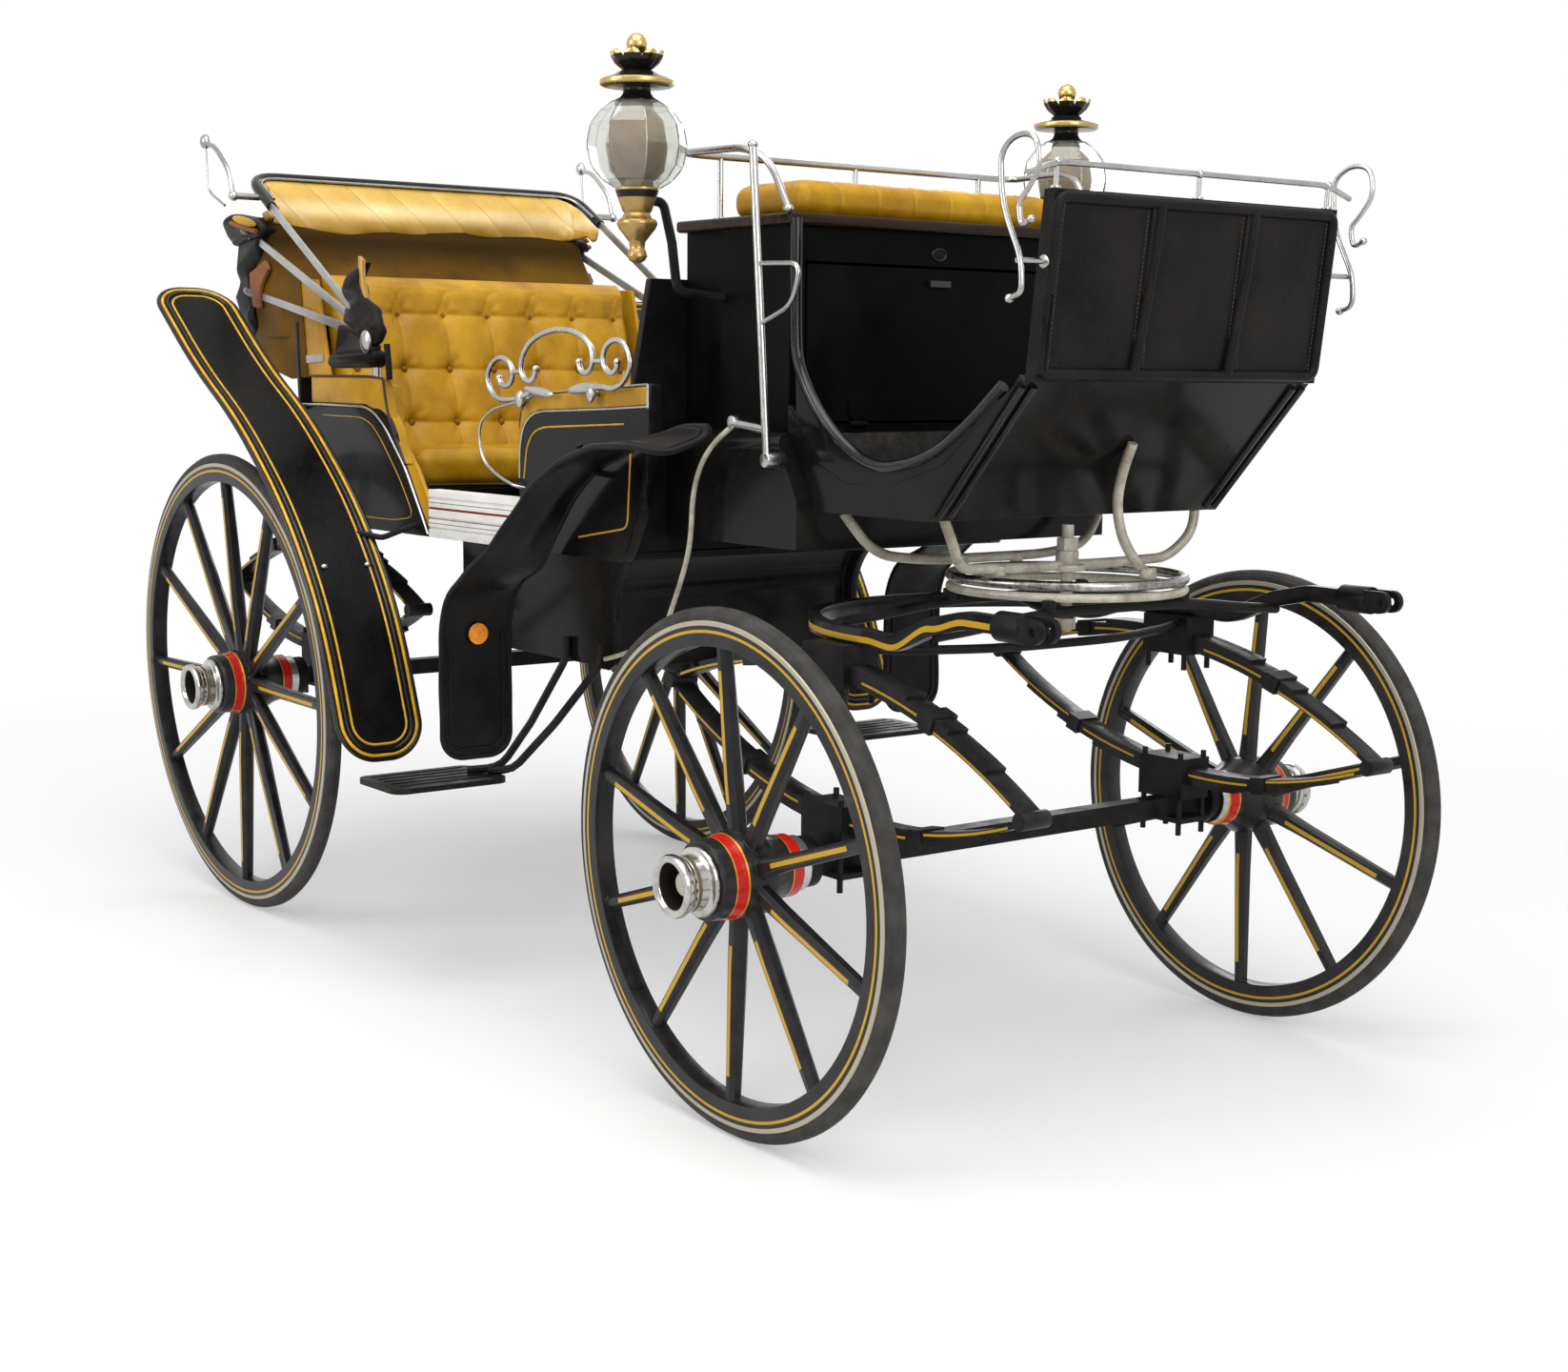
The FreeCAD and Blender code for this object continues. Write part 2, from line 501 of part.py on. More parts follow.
def boot():
    """The coachman's foot tray: floor, sloping toe board and two side panels with a scooped top edge."""
    side = side_plate((SEAT_BOX_FRONT, 1262), [((-80, 1143), (185, 1199)), (DASH_FOOT_X - 14, DASH_FOOT_Z - 12),
                      (DASH_FOOT_X, DASH_FOOT_Z), (TOE_X, TOE_Z), (SEAT_BOX_FRONT, TOE_Z)], BOOT_IN,
                      BOOT_HALF_W)
    floor = box(SEAT_BOX_FRONT, TOE_X - 4, -BOOT_IN, BOOT_IN, BOOT_FLOOR_Z, BOOT_FLOOR_Z + WALL)
    normal = V(-(DASH_FOOT_Z - TOE_Z), 0, DASH_FOOT_X - TOE_X).normalize() * WALL
    toe = Part.Face(Part.makePolygon([V(TOE_X, -BOOT_IN, TOE_Z), V(DASH_FOOT_X, -BOOT_IN, DASH_FOOT_Z),
                    V(DASH_FOOT_X, -BOOT_IN, DASH_FOOT_Z) + normal, V(TOE_X, -BOOT_IN, TOE_Z) + normal,
                    V(TOE_X, -BOOT_IN, TOE_Z)])).extrude(V(0, 2 * BOOT_IN, 0))
    return fuse([side, mirror_y(side), floor, toe])


boot_tray = boot()
write("boot", boot_tray)

# the closed lower boot bulges out below the seat box, with rounded shoulders, and runs back to the well
SHOULDER_R = 33.0
shoulder_y = BULGE_HALF_W - SHOULDER_R * (1 - math.sqrt(0.5))
shoulder_z = BULGE_TOP - SHOULDER_R * (1 - math.sqrt(0.5))
bulge_section = outline((BULGE_FRONT, -BULGE_HALF_W, BULGE_BOTTOM), [
    (BULGE_FRONT, BULGE_HALF_W, BULGE_BOTTOM), (BULGE_FRONT, BULGE_HALF_W, BULGE_TOP - SHOULDER_R),
    ((BULGE_FRONT, shoulder_y, shoulder_z), (BULGE_FRONT, BULGE_HALF_W - SHOULDER_R, BULGE_TOP)),
    (BULGE_FRONT, -BULGE_HALF_W + SHOULDER_R, BULGE_TOP),
    ((BULGE_FRONT, -shoulder_y, shoulder_z), (BULGE_FRONT, -BULGE_HALF_W, BULGE_TOP - SHOULDER_R))])
bulge = Part.Face(bulge_section).extrude(V(BULKHEAD_X - BULGE_FRONT, 0, 0))
boot_slope = side_plate((BULGE_FRONT + 1, BULGE_BOTTOM - 1), [(BULGE_FRONT + 1, BULGE_TOP + 20),
                         (SEAT_BOX_FRONT - 10, BULGE_TOP + 20), (BULGE_FRONT, TOE_Z + 20)], -500, 500)
hollow = box(BULKHEAD_X + WALL, SEAT_FRONT_IN, -BOOT_IN + WALL, BOOT_IN - WALL,
             BULGE_BOTTOM + WALL + 8, BULGE_TOP + 5)
tray_space = box(SEAT_BOX_FRONT, 300, -BOOT_HALF_W, BOOT_HALF_W, BOOT_FLOOR_Z, 1400)
lower_boot = bulge.cut(boot_slope).cut(hollow).cut(tray_space)
write("lower_boot", lower_boot)
fifth_irons = fifth_irons.cut(boot_tray).cut(lower_boot)
write("fifth_wheel_irons", Part.makeCompound([s for s in fifth_irons.Solids if s.Volume > 5000]))

# seat box: four walls on the lower boot, its front closed by a drop flap
FLAP_HALF_W, FLAP_LOW, FLAP_HIGH = 318.0, 1232.0, 1520.0
FLAP_GAP = 5.0
HINGE_X, HINGE_Z, HINGE_R, HINGE_Y = SEAT_BOX_FRONT + 6, FLAP_LOW - 6, 6.0, 200.0
box_out = box(SEAT_BOX_REAR, SEAT_BOX_FRONT, -BOOT_IN, BOOT_IN, BULGE_TOP, SEAT_BOX_TOP)
box_in = box(SEAT_BOX_REAR + WALL, SEAT_FRONT_IN, -BOOT_IN + WALL, BOOT_IN - WALL, BULGE_TOP, SEAT_BOX_TOP)
doorway = box(SEAT_FRONT_IN - 5, SEAT_BOX_FRONT + 5, -FLAP_HALF_W - FLAP_GAP, FLAP_HALF_W + FLAP_GAP,
              FLAP_LOW - FLAP_GAP, FLAP_HIGH + FLAP_GAP)
flap = box(SEAT_FRONT_IN, SEAT_BOX_FRONT, -FLAP_HALF_W, FLAP_HALF_W, FLAP_LOW, FLAP_HIGH)
latch = box(SEAT_BOX_FRONT, SEAT_BOX_FRONT + 8, -26, 26, FLAP_HIGH - 34, FLAP_HIGH - 22)
flap_iron, box_iron = [flap, latch], []
for side in (-1, 1):
    y = side * HINGE_Y
    flap_iron.append(box(SEAT_BOX_FRONT, SEAT_BOX_FRONT + 3, y - 18, y + 18, FLAP_LOW + 6, FLAP_LOW + 44))
    flap_iron.append(box(SEAT_BOX_FRONT, SEAT_BOX_FRONT + 3, y - 6.5, y + 6.5, FLAP_LOW - 4, FLAP_LOW + 8))
    eye = Part.makeCylinder(HINGE_R, 13, V(HINGE_X, y - 6.5, HINGE_Z), Y_AXIS)
    flap_iron.append(eye)
    box_iron.append(box(SEAT_BOX_FRONT, SEAT_BOX_FRONT + 3, y - 20, y + 20, BULGE_TOP + 2, FLAP_LOW - 14))
    for y0 in (y - 20, y + 7):
        box_iron.append(Part.makeCylinder(HINGE_R, 13, V(HINGE_X, y0, HINGE_Z), Y_AXIS))
        box_iron.append(box(SEAT_BOX_FRONT, SEAT_BOX_FRONT + 3, y0, y0 + 13, FLAP_LOW - 16, FLAP_LOW - 6))
    box_iron.append(Part.makeCylinder(3, 40, V(HINGE_X, y - 20, HINGE_Z), Y_AXIS))
flap_bores = [Part.makeCylinder(3.1, 13, V(HINGE_X, side * HINGE_Y - 6.5, HINGE_Z), Y_AXIS) for side in (-1, 1)]
write("seat_box_flap", fuse(flap_iron).cut(Part.makeCompound(flap_bores)))

# riser panels stand on the boot's shoulders, swept back in a hollow curve at the rear
riser = side_plate((SEAT_BOX_FRONT, SEAT_BOX_TOP), [(SEAT_BOX_FRONT, BULGE_TOP), (-585, BULGE_TOP),
                   ((-498, 1262), (-470, 1360)), (-462, SEAT_BOX_TOP)], BOOT_IN, BOOT_IN + 14)
seat_box = fuse([box_out.cut(box_in).cut(doorway), riser, mirror_y(riser)] + box_iron)
write("seat_box", seat_box)
BOARD_TOP, BOARD_HALF_W = SEAT_BOX_TOP + 22, BOOT_HALF_W + 12
seat_board = box(SEAT_BOX_REAR, SEAT_BOX_FRONT + 16, -BOARD_HALF_W, BOARD_HALF_W, SEAT_BOX_TOP, BOARD_TOP)
write("driver_seat_board", seat_board)
CUSHION_Z = BOARD_TOP + SOFT_GAP
CUSHION_REAR, CUSHION_FRONT, CUSHION_HALF_W = -502.0, SEAT_BOX_FRONT - 6, 328.0
CUSHION_H, CUSHION_BEND = 66.0, 22.0


def pillow(low, high):
    """(u, z) outline steps of a cushion, over the top from low to high with rounded upper corners."""
    top, cut = CUSHION_Z + CUSHION_H, CUSHION_BEND * (1 - math.sqrt(0.5))
    return [(low, top - CUSHION_BEND), ((low + cut, top - cut), (low + CUSHION_BEND, top)),
            (high - CUSHION_BEND, top),
            ((high - cut, top - cut), (high, top - CUSHION_BEND)), (high, CUSHION_Z)]


along = side_plate((CUSHION_REAR, CUSHION_Z), pillow(CUSHION_REAR, CUSHION_FRONT), -CUSHION_HALF_W,
                   CUSHION_HALF_W)
across = side_plate((-CUSHION_HALF_W, CUSHION_Z), pillow(-CUSHION_HALF_W, CUSHION_HALF_W), 0, -CUSHION_REAR)
across.rotate(V(0, 0, 0), Z_AXIS, 90)
write("driver_cushion", along.common(across))

# the coachman's seat rail: round bar, open at the front, on four feet
RAIL_R, RAIL_Z = 7.0, 1729.0
RAIL_FOOT_X, RAIL_BACK_X = -240.0, -512.0
rail_half = [(RAIL_FOOT_X, BOARD_HALF_W, BOARD_TOP + 12), (-268, 392, 1700), (-330, 404, RAIL_Z),
             (-500, 424, RAIL_Z), (RAIL_BACK_X, 380, RAIL_Z)]
rail_feet = [rod([(x, -y, z) for x, y, z in rail_half] + rail_half[::-1], 60, RAIL_R)]
for y in (-330, 0, 330):
    rail_feet.append(Part.makeCylinder(6, RAIL_Z - BOARD_TOP, V(RAIL_BACK_X, y, BOARD_TOP), Z_AXIS))
for side in (-1, 1):
    foot_y = side * BOARD_HALF_W
    rail_feet.append(box(RAIL_FOOT_X - 12, RAIL_FOOT_X + 12, foot_y - 10, foot_y + 10, BOARD_TOP,
                         BOARD_TOP + 16))
write("driver_seat_rail", fuse(rail_feet).cut(seat_board))

# ---------------------------------------------------------------- dash
dash_lean = (DASH_TOP_X - DASH_FOOT_X) / (DASH_TOP_Z - DASH_FOOT_Z)
dash_face = [V(DASH_FOOT_X, -344, DASH_FOOT_Z), V(DASH_FOOT_X, 344, DASH_FOOT_Z),
             V(DASH_TOP_X, 344, DASH_TOP_Z),
             V(DASH_TOP_X, -344, DASH_TOP_Z)]
dash = Part.Face(Part.makePolygon(dash_face + dash_face[:1])).extrude(V(DASH_T, 0, 0))
ribs = []
for y in (-115, 115):
    ribs.append(Part.makeCylinder(7, 296, V(DASH_FOOT_X + DASH_T - 1, y, DASH_FOOT_Z + 4), V(dash_lean, 0, 1)))
dash_board = fuse([dash] + ribs)
write("dash", dash_board)


def dash_x(z):
    return DASH_FOOT_X + (z - DASH_FOOT_Z) * dash_lean


# silver rail along the dash's top, on posts, with a scroll handle at each end
RAIL_TOP = 1660.0
bar = [rod([(dash_x(1636) + 8, -392, 1636), (dash_x(1640) + 10, -330, RAIL_TOP - 4),
            (dash_x(1640) + 10, 330, RAIL_TOP - 4), (dash_x(1636) + 8, 392, 1636)], 60, 5.5)]
for y in (-330, 0, 330):
    bar.append(Part.makeCylinder(4.5, RAIL_TOP - DASH_TOP_Z - 4, V(DASH_TOP_X + 10, y, DASH_TOP_Z), Z_AXIS))


def flat_scroll(points, y, r):
    """A round bar that follows (x, z) points in an upright plane, with soft bends."""
    return rod([(x, y, z) for x, z in points], 60, r)


SCROLL_Y = 405.0
scroll_bar = flat_scroll([(388, 1440), (416, 1448), (414, 1500), (366, 1590), (362, 1672), (398, 1696),
                          (444, 1690),
                     (452, 1640), (424, 1606), (404, 1588), (412, 1552), (434, 1562)], -SCROLL_Y, 6)
arms = [Part.makeCylinder(5, 66, V(x, -SCROLL_Y, z), Y_AXIS) for x, z in ((404, 1500), (392, 1560))]
scroll = fuse([scroll_bar] + arms)
silver = fuse(bar + [scroll, mirror_y(scroll)]).cut(dash_board)
write("dash_rail", Part.makeCompound([s for s in silver.Solids if s.Volume > 500]))

# ---------------------------------------------------------------- passenger body
BODY_IN = BODY_HALF_W - 30
WELL_IN = WELL_HALF_W - WALL

# the well: the passengers' foot space, a deep tray whose front sweeps forward in a cove to meet the floor
NOSE_R = 110.0
nose_cut = NOSE_R * (1 - math.sqrt(0.5))
well_out = side_plate((WELL_FRONT, WELL_BOTTOM), [(WELL_FRONT, SILL_Z - NOSE_R),
                      ((WELL_FRONT + nose_cut, SILL_Z - nose_cut), (WELL_FRONT + NOSE_R, SILL_Z)),
                      (WELL_REAR, SILL_Z), (WELL_REAR, WELL_BOTTOM)], -WELL_HALF_W, WELL_HALF_W)
well_in = box(WELL_REAR + WALL, WELL_FRONT - WALL, -WELL_IN, WELL_IN, WELL_BOTTOM + WALL, SILL_Z + 1)

# a swept cheek on each side of the cove carries the well from the floor frame
CHEEK_T, CHEEK_REACH, CHEEK_FOOT = 18.0, 125.0, 32.0
cheek = side_plate((WELL_FRONT + CHEEK_REACH, SILL_Z), [((WELL_FRONT + 0.45 * CHEEK_REACH, SILL_Z - 47),
                   (WELL_FRONT + CHEEK_FOOT, SILL_Z - 150)), (WELL_FRONT + CHEEK_FOOT, WELL_BOTTOM + 14),
                   (WELL_FRONT + 10, WELL_BOTTOM), (WELL_FRONT - 20, WELL_BOTTOM), (WELL_FRONT - 20, SILL_Z)],
                   WELL_HALF_W, WELL_HALF_W + CHEEK_T)
write("well", fuse([well_out.cut(well_in), cheek, mirror_y(cheek)]))

# floor frame round the well: side shelves with the sills on their edges, and the seat floor behind
floor_rear = REAR_FOOT_X
floor_frame = box(floor_rear, BULKHEAD_X, -BODY_IN, BODY_IN, SILL_Z, SILL_Z + FLOOR_T)
floor_frame = floor_frame.cut(box(WELL_REAR + WALL, WELL_FRONT - WALL, -WELL_IN, WELL_IN, SILL_Z - 1,
                                  SILL_Z + FLOOR_T + 2))
write("body_floor", floor_frame)
sill = box(DOOR_REAR, DOOR_FRONT, BODY_IN, BODY_HALF_W, SILL_Z, SILL_TOP)
for k in range(4):
    groove_z = SILL_Z + FLOOR_T + k * 22
    sill = sill.cut(box(DOOR_REAR, DOOR_FRONT, BODY_HALF_W - 4, BODY_HALF_W + 1, groove_z, groove_z + 5))
write("sill_plates", pair(sill))

front_quarter = side_plate((BULKHEAD_X, SILL_Z), [((BULKHEAD_X + 74, 1090), (QUARTER_NOSE_X, QUARTER_TOP + 58)),
                           (DOOR_FRONT + 70, QUARTER_TOP + 34),
                           ((DOOR_FRONT + 18, QUARTER_TOP + 12), (DOOR_FRONT, QUARTER_TOP - 48)),
                           (DOOR_FRONT, SILL_Z)], BODY_IN, BODY_HALF_W)
write("front_quarter_panels", pair(front_quarter))
rear_quarter = side_plate((DOOR_REAR, SILL_Z), [((DOOR_REAR - 74, 1050), (DOOR_REAR - 146, 1150)),
                          ((DOOR_REAR - 188, REAR_QUARTER_TOP - 20), (DOOR_REAR - 258, REAR_QUARTER_TOP)),
                          (REAR_FOOT_X - 66, REAR_QUARTER_TOP),
                          ((REAR_FOOT_X - 50, 1080), (REAR_FOOT_X, SILL_Z))],
                          BODY_IN, BODY_HALF_W)
write("rear_quarter_panels", pair(rear_quarter))
back_panel = side_plate((REAR_FOOT_X, SILL_Z + FLOOR_T), [((REAR_FOOT_X - 50, 1080), (REAR_FOOT_X - 66, 1232)),
                        (REAR_TOP_X, REAR_TOP_Z), (REAR_TOP_X + WALL, REAR_TOP_Z),
                        (REAR_FOOT_X - 66 + WALL, 1232),
                        ((REAR_FOOT_X - 50 + WALL, 1080), (REAR_FOOT_X + WALL, SILL_Z + FLOOR_T))],
                        -BODY_IN, BODY_IN)
write("back_panel", back_panel)

# front bulkhead, a little narrower at the top
bulkhead_half = [(BODY_IN, SILL_Z + FLOOR_T), (BODY_IN - 4, 1310), (BODY_IN - 40, 1500)]
bulkhead_corners = [V(BULKHEAD_X, y, z) for y, z in bulkhead_half + [(-y, z) for y, z in bulkhead_half[::-1]]]
bulkhead = Part.Face(Part.makePolygon(bulkhead_corners + bulkhead_corners[:1]))
write("front_bulkhead", bulkhead.extrude(V(-WALL, 0, 0)))

# passenger's seat: riser, board and cushions
write("seat_frame", fuse([box(SEAT_FRONT - WALL, SEAT_FRONT, -BODY_IN, BODY_IN, SILL_Z + FLOOR_T, SEAT_Z - 14),
                          box(BACK_FOOT_X - 60, SEAT_FRONT + 6, -BODY_IN, BODY_IN, SEAT_Z - 14, SEAT_Z)]))
SEAT_PAD = 96.0
PAD_HALF_W = BODY_IN - 40
seat_pad = box(BACK_FOOT_X + 30, SEAT_FRONT + 14, 6 - PAD_HALF_W, PAD_HALF_W - 6,
               SEAT_Z + SOFT_GAP, SEAT_Z + SEAT_PAD)
write("seat_cushion", seat_pad.makeFillet(34, [e for e in seat_pad.Edges
      if abs(e.CenterOfMass.x - SEAT_FRONT - 14) < 1 and e.Length > 500]))
back_pad = side_plate((BACK_FOOT_X - 30, SEAT_Z + SOFT_GAP), [(BACK_FOOT_X + 28, SEAT_Z + SOFT_GAP),
                      (BACK_FOOT_X + 28, SEAT_Z + 120), (BACK_TOP_X + 62, BACK_TOP_Z - 20),
                      ((BACK_TOP_X + 30, BACK_TOP_Z), (BACK_TOP_X, BACK_TOP_Z - 20))], -PAD_HALF_W, PAD_HALF_W)
write("seat_back", back_pad)
arm_pad = side_plate((SEAT_FRONT - 35, SEAT_Z + SOFT_GAP), [((SEAT_FRONT - 22, 1190), (SEAT_FRONT - 50, 1286)),
                     (SEAT_FRONT - 90, 1300), (BACK_FOOT_X - 75, 1300), (BACK_FOOT_X - 33, SEAT_Z + SOFT_GAP)],
                     PAD_HALF_W + 1, BODY_IN - SOFT_GAP)
front_pad = side_plate((BULKHEAD_X - WALL - SOFT_GAP, QUARTER_TOP - 60), [(BULKHEAD_X - WALL - SOFT_GAP, 1304),
                       (DOOR_FRONT + 110, 1290), ((DOOR_FRONT + 40, 1280), (DOOR_FRONT + 22, QUARTER_TOP - 20)),
                       (DOOR_FRONT + 22, QUARTER_TOP - 60)], BODY_IN - 34, BODY_IN - SOFT_GAP)
write("arm_pads", Part.makeCompound([pair(arm_pad), pair(front_pad)]))

# ---------------------------------------------------------------- mud wings
def rounded_across(y0, y1, z_low, z_high, r):
    """A tall stadium seen from the front, extruded along the carriage to round a wing's ends."""
    long = 2 * WHEELBASE
    tall = box(-long, 400, y0, y1, z_low, z_high)
    ends = [e for e in tall.Edges if abs(e.Length - long - 400) < 1]
    return tall.makeFillet(r, ends)


REAR_WING_Y, REAR_WING_W = TRACK / 2, 200.0
FRONT_WING_Y, FRONT_WING_W = TRACK / 2 - 74, 168.0
# columns: x behind or ahead of the rear axle, height
REAR_WING_PATH = ((-262, 1531), (30, 1322), (250, 1205), (500, 1012), (680, 780), (780, 520), (790, 470))
rear_wing = strip([(REAR_X + x, z) for x, z in REAR_WING_PATH], 300,
                  REAR_WING_Y - REAR_WING_W / 2, REAR_WING_Y + REAR_WING_W / 2, WING_T)
rear_wing = rear_wing.common(rounded_across(REAR_WING_Y - REAR_WING_W / 2, REAR_WING_Y + REAR_WING_W / 2,
                                            478, 1516, 80))
write("rear_wings", pair(rear_wing))
front_wing = strip([(-235, 1190), (-330, 1202), (-480, 1182), (-650, 1108), (-870, 928), (-985, 866),
                    (-1013, 800), (-1014, 500)], 120,
                   FRONT_WING_Y - FRONT_WING_W / 2, FRONT_WING_Y + FRONT_WING_W / 2, WING_T)
front_wing = front_wing.common(rounded_across(FRONT_WING_Y - FRONT_WING_W / 2, FRONT_WING_Y + FRONT_WING_W / 2,
                                              506, 1230, 20))
write("front_wings", pair(front_wing))
stay_end_y = REAR_WING_Y - REAR_WING_W / 2 + 34
# columns: (x, y, z) of the stay's foot on the body, its bend and its end under a wing
STAYS = (
    ((REAR_X + 640, BODY_HALF_W - 20, 985), (REAR_X + 580, BODY_HALF_W + 60, 945),
     (REAR_X + 542, stay_end_y, 956)),
    ((REAR_X + 30, BODY_HALF_W - 6, 1215), (REAR_X + 40, BODY_HALF_W + 60, 1250),
     (REAR_X + 50, stay_end_y + 17, 1310)),
    ((-640, BODY_HALF_W - 6, 1120), (-625, FRONT_WING_Y - 35, 1130), (-610, FRONT_WING_Y - 5, 1182)),
)
cut_stays = []
for places in STAYS:
    bar = rod(places, 30, 7)
    bar = bar.cut(Part.makeCompound([rear_wing, front_wing, rear_quarter, front_quarter, floor_frame, sill]))
    cut_stays.append(max(bar.Solids, key=lambda solid: solid.Volume))
write("wing_stays", pair(Part.makeCompound(cut_stays)))

# ---------------------------------------------------------------- steps
STEP_X, STEP_Z, STEP_T, STEP_HALF_L = (DOOR_FRONT + DOOR_REAR) / 2 + 6, 438.0, 12.0, 95.0
STEP_IN, STEP_OUT = 470.0, 745.0
tread = box(STEP_X - STEP_HALF_L, STEP_X + STEP_HALF_L, STEP_IN, STEP_OUT, STEP_Z, STEP_Z + STEP_T)
tread = tread.makeFillet(30, [e for e in tread.Edges if abs(e.Length - STEP_T) < 0.1])
for k in range(5):
    groove_x = STEP_X - 75 + 32 * k
    tread = tread.cut(box(groove_x, groove_x + 12, STEP_IN + 30, STEP_OUT - 25, STEP_Z + 8,
                          STEP_Z + STEP_T + 1))
iron_y = WELL_HALF_W + 9
step_irons = [rod([(STEP_X - 5, 520, STEP_Z + 18), (STEP_X + 35, 460, STEP_Z + 24), (STEP_X + 65, 400, 560),
                   (STEP_X + 85, iron_y, 700), (STEP_X + 85, iron_y, 745)], 60, 9),
              rod([(STEP_X + 35, 490, STEP_Z + 18), (STEP_X + 75, 452, STEP_Z + 24), (STEP_X + 165, 400, 570),
                   (STEP_X + 225, iron_y, 700), (STEP_X + 230, iron_y, 745)], 60, 9)]
write("steps", pair(fuse([tread] + step_irons).cut(well_out)))

# ---------------------------------------------------------------- lamps
LAMP_BALL_R, LAMP_BALL_Z = 20.0, 394.0
# columns: height above the lamp's foot, radius
lamp_rows = (
    [(0, 6), (4, 14), (12, 19), (20, 17), (27, 14), (38, 15), (44, 20), (62, 34), (71, 38), (78, 36), (83, 28),
     (91, 24), (94, 27), (130, 40), (136, 41), (136, 30), (285, 30), (293, 24)],
    [(293, 41), (299, 31), (306, 26), (316, 26), (318, 64), (321, 69), (329, 69), (332, 64), (337, 47),
     (345, 32),
     (351, 17), (372, 16)] + ball_profile(LAMP_BALL_R, LAMP_BALL_Z),
)
lamp_body, lamp_cap = [turned_z([(LAMP_Z + z, r) for z, r in rows], LAMP_X, LAMP_Y) for rows in lamp_rows]
write("lamp_bodies", pair(lamp_body))
write("lamp_caps", pair(lamp_cap))
GLOBE_PANES, GLOBE_T = 8, 3.0


def melon(shrink):
    """A globe of flat panes: a polygon in plan, swollen in the middle."""
    rows = []
    for z, r in ((136, 42), (150, 66), (175, 86), (212, 94), (250, 87), (277, 66), (293, 42)):
        angles = [2 * math.pi * (k + 0.5) / GLOBE_PANES for k in range(GLOBE_PANES)]
        rows.append([V(LAMP_X + (r - shrink) * math.cos(a), LAMP_Y + (r - shrink) * math.sin(a), LAMP_Z + z)
                     for a in angles])
    faces = [Part.Face(Part.makePolygon(row + row[:1])) for row in (rows[0], rows[-1])]
    for low, high in zip(rows, rows[1:]):
        faces += between(low, high)
    return solid_of(faces)


globe = melon(0).cut(melon(GLOBE_T))
write("lamp_globes", pair(globe))
lamp_arm = rod([(LAMP_X, LAMP_Y - 30, LAMP_Z + 114), (LAMP_X, LAMP_Y - 58, LAMP_Z + 114),
                (LAMP_X + 8, LAMP_Y - 72, LAMP_Z + 40), (LAMP_X + 14, LAMP_Y - 80, LAMP_Z - 50),
                (LAMP_X + 14, BOOT_IN + 10, LAMP_Z - 60)], 24, 9)
lamp_arm = lamp_arm.cut(lamp_body).cut(seat_box)
write("lamp_brackets", pair(max(lamp_arm.Solids, key=lambda solid: solid.Volume)))

# ---------------------------------------------------------------- folded hood
# columns: bow's lean above the rearward horizontal in degrees, its reach and its knee's reach from the pivot
BOWS = ((30.5, 822.0, 660.0), (21.0, 850.0, 740.0), (10.0, 800.0, 690.0))
BOW_R, BOW_STEP_IN = 13.0, 6.0
SLAT_HALF_H, SLAT_HALF_T = 9.0, 3.0


def along_bow(lean, reach, rise=0.0):
    """The (x, z) place at a reach along a bow's lean, a little above its line."""
    c, s = math.cos(math.radians(lean)), math.sin(math.radians(lean))
    return (HOOD_X - c * reach + s * rise, HOOD_Z + s * reach + c * rise)


bows, slats = [], []
for k, (lean, reach, knee_reach) in enumerate(BOWS):
    tip, knee = along_bow(lean, reach), along_bow(lean, knee_reach)
    half = HOOD_HALF_W - BOW_STEP_IN * (k + 1)
    bows.append(rod([(knee[0], -half, knee[1]), (tip[0], -half, tip[1]), (tip[0], half, tip[1]),
                     (knee[0], half, knee[1])], 90, BOW_R))
    for side in (-1, 1):
        middle = side * (half + 1 - k)
        slats.append(side_plate(along_bow(lean, 20, -SLAT_HALF_H), [
            along_bow(lean, knee_reach + 10, -SLAT_HALF_H), along_bow(lean, knee_reach + 10, SLAT_HALF_H),
            along_bow(lean, 20, SLAT_HALF_H)], middle - SLAT_HALF_T, middle + SLAT_HALF_T))
PIVOT_R, PIVOT_L, POST_R = 24.0, 44.0, 11.0
hood_pivots = [Part.makeCylinder(PIVOT_R, PIVOT_L, V(HOOD_X, side * HOOD_HALF_W - PIVOT_L / 2, HOOD_Z), Y_AXIS)
               for side in (-1, 1)]
post_y = BODY_HALF_W - POST_R - 3
hood_posts = [Part.makeCylinder(POST_R, HOOD_Z - REAR_QUARTER_TOP, V(HOOD_X, side * post_y, REAR_QUARTER_TOP),
                                Z_AXIS)
              for side in (-1, 1)]
bow_frame = fuse(bows + slats + hood_pivots + hood_posts)
write("hood_bows", bow_frame)

# a tall bright stay stands on each side of the front bow, with a ball on its top
STAY_Y = -(HOOD_HALF_W + 70)
STAY_TOP_X, STAY_TOP_Z, STAY_FOOT_X, STAY_FOOT_Z = HOOD_X - 790, HOOD_Z + 500, HOOD_X - 623, HOOD_Z + 360
stay = rod([(STAY_TOP_X, STAY_Y, STAY_TOP_Z), (STAY_TOP_X + 60, STAY_Y, STAY_TOP_Z - 12),
            (STAY_FOOT_X - 20, STAY_Y, STAY_FOOT_Z + 60), (STAY_FOOT_X, STAY_Y, STAY_FOOT_Z - 10)], 120, 8)
knob = turned_z([(STAY_TOP_Z - 12, 6)] + ball_profile(17, STAY_TOP_Z + 5), STAY_TOP_X, STAY_Y)
stay_foot = Part.makeCylinder(11, 90, V(STAY_FOOT_X, STAY_Y - 10, STAY_FOOT_Z), Y_AXIS)
hood_stay = fuse([stay, knob, stay_foot]).cut(bow_frame)
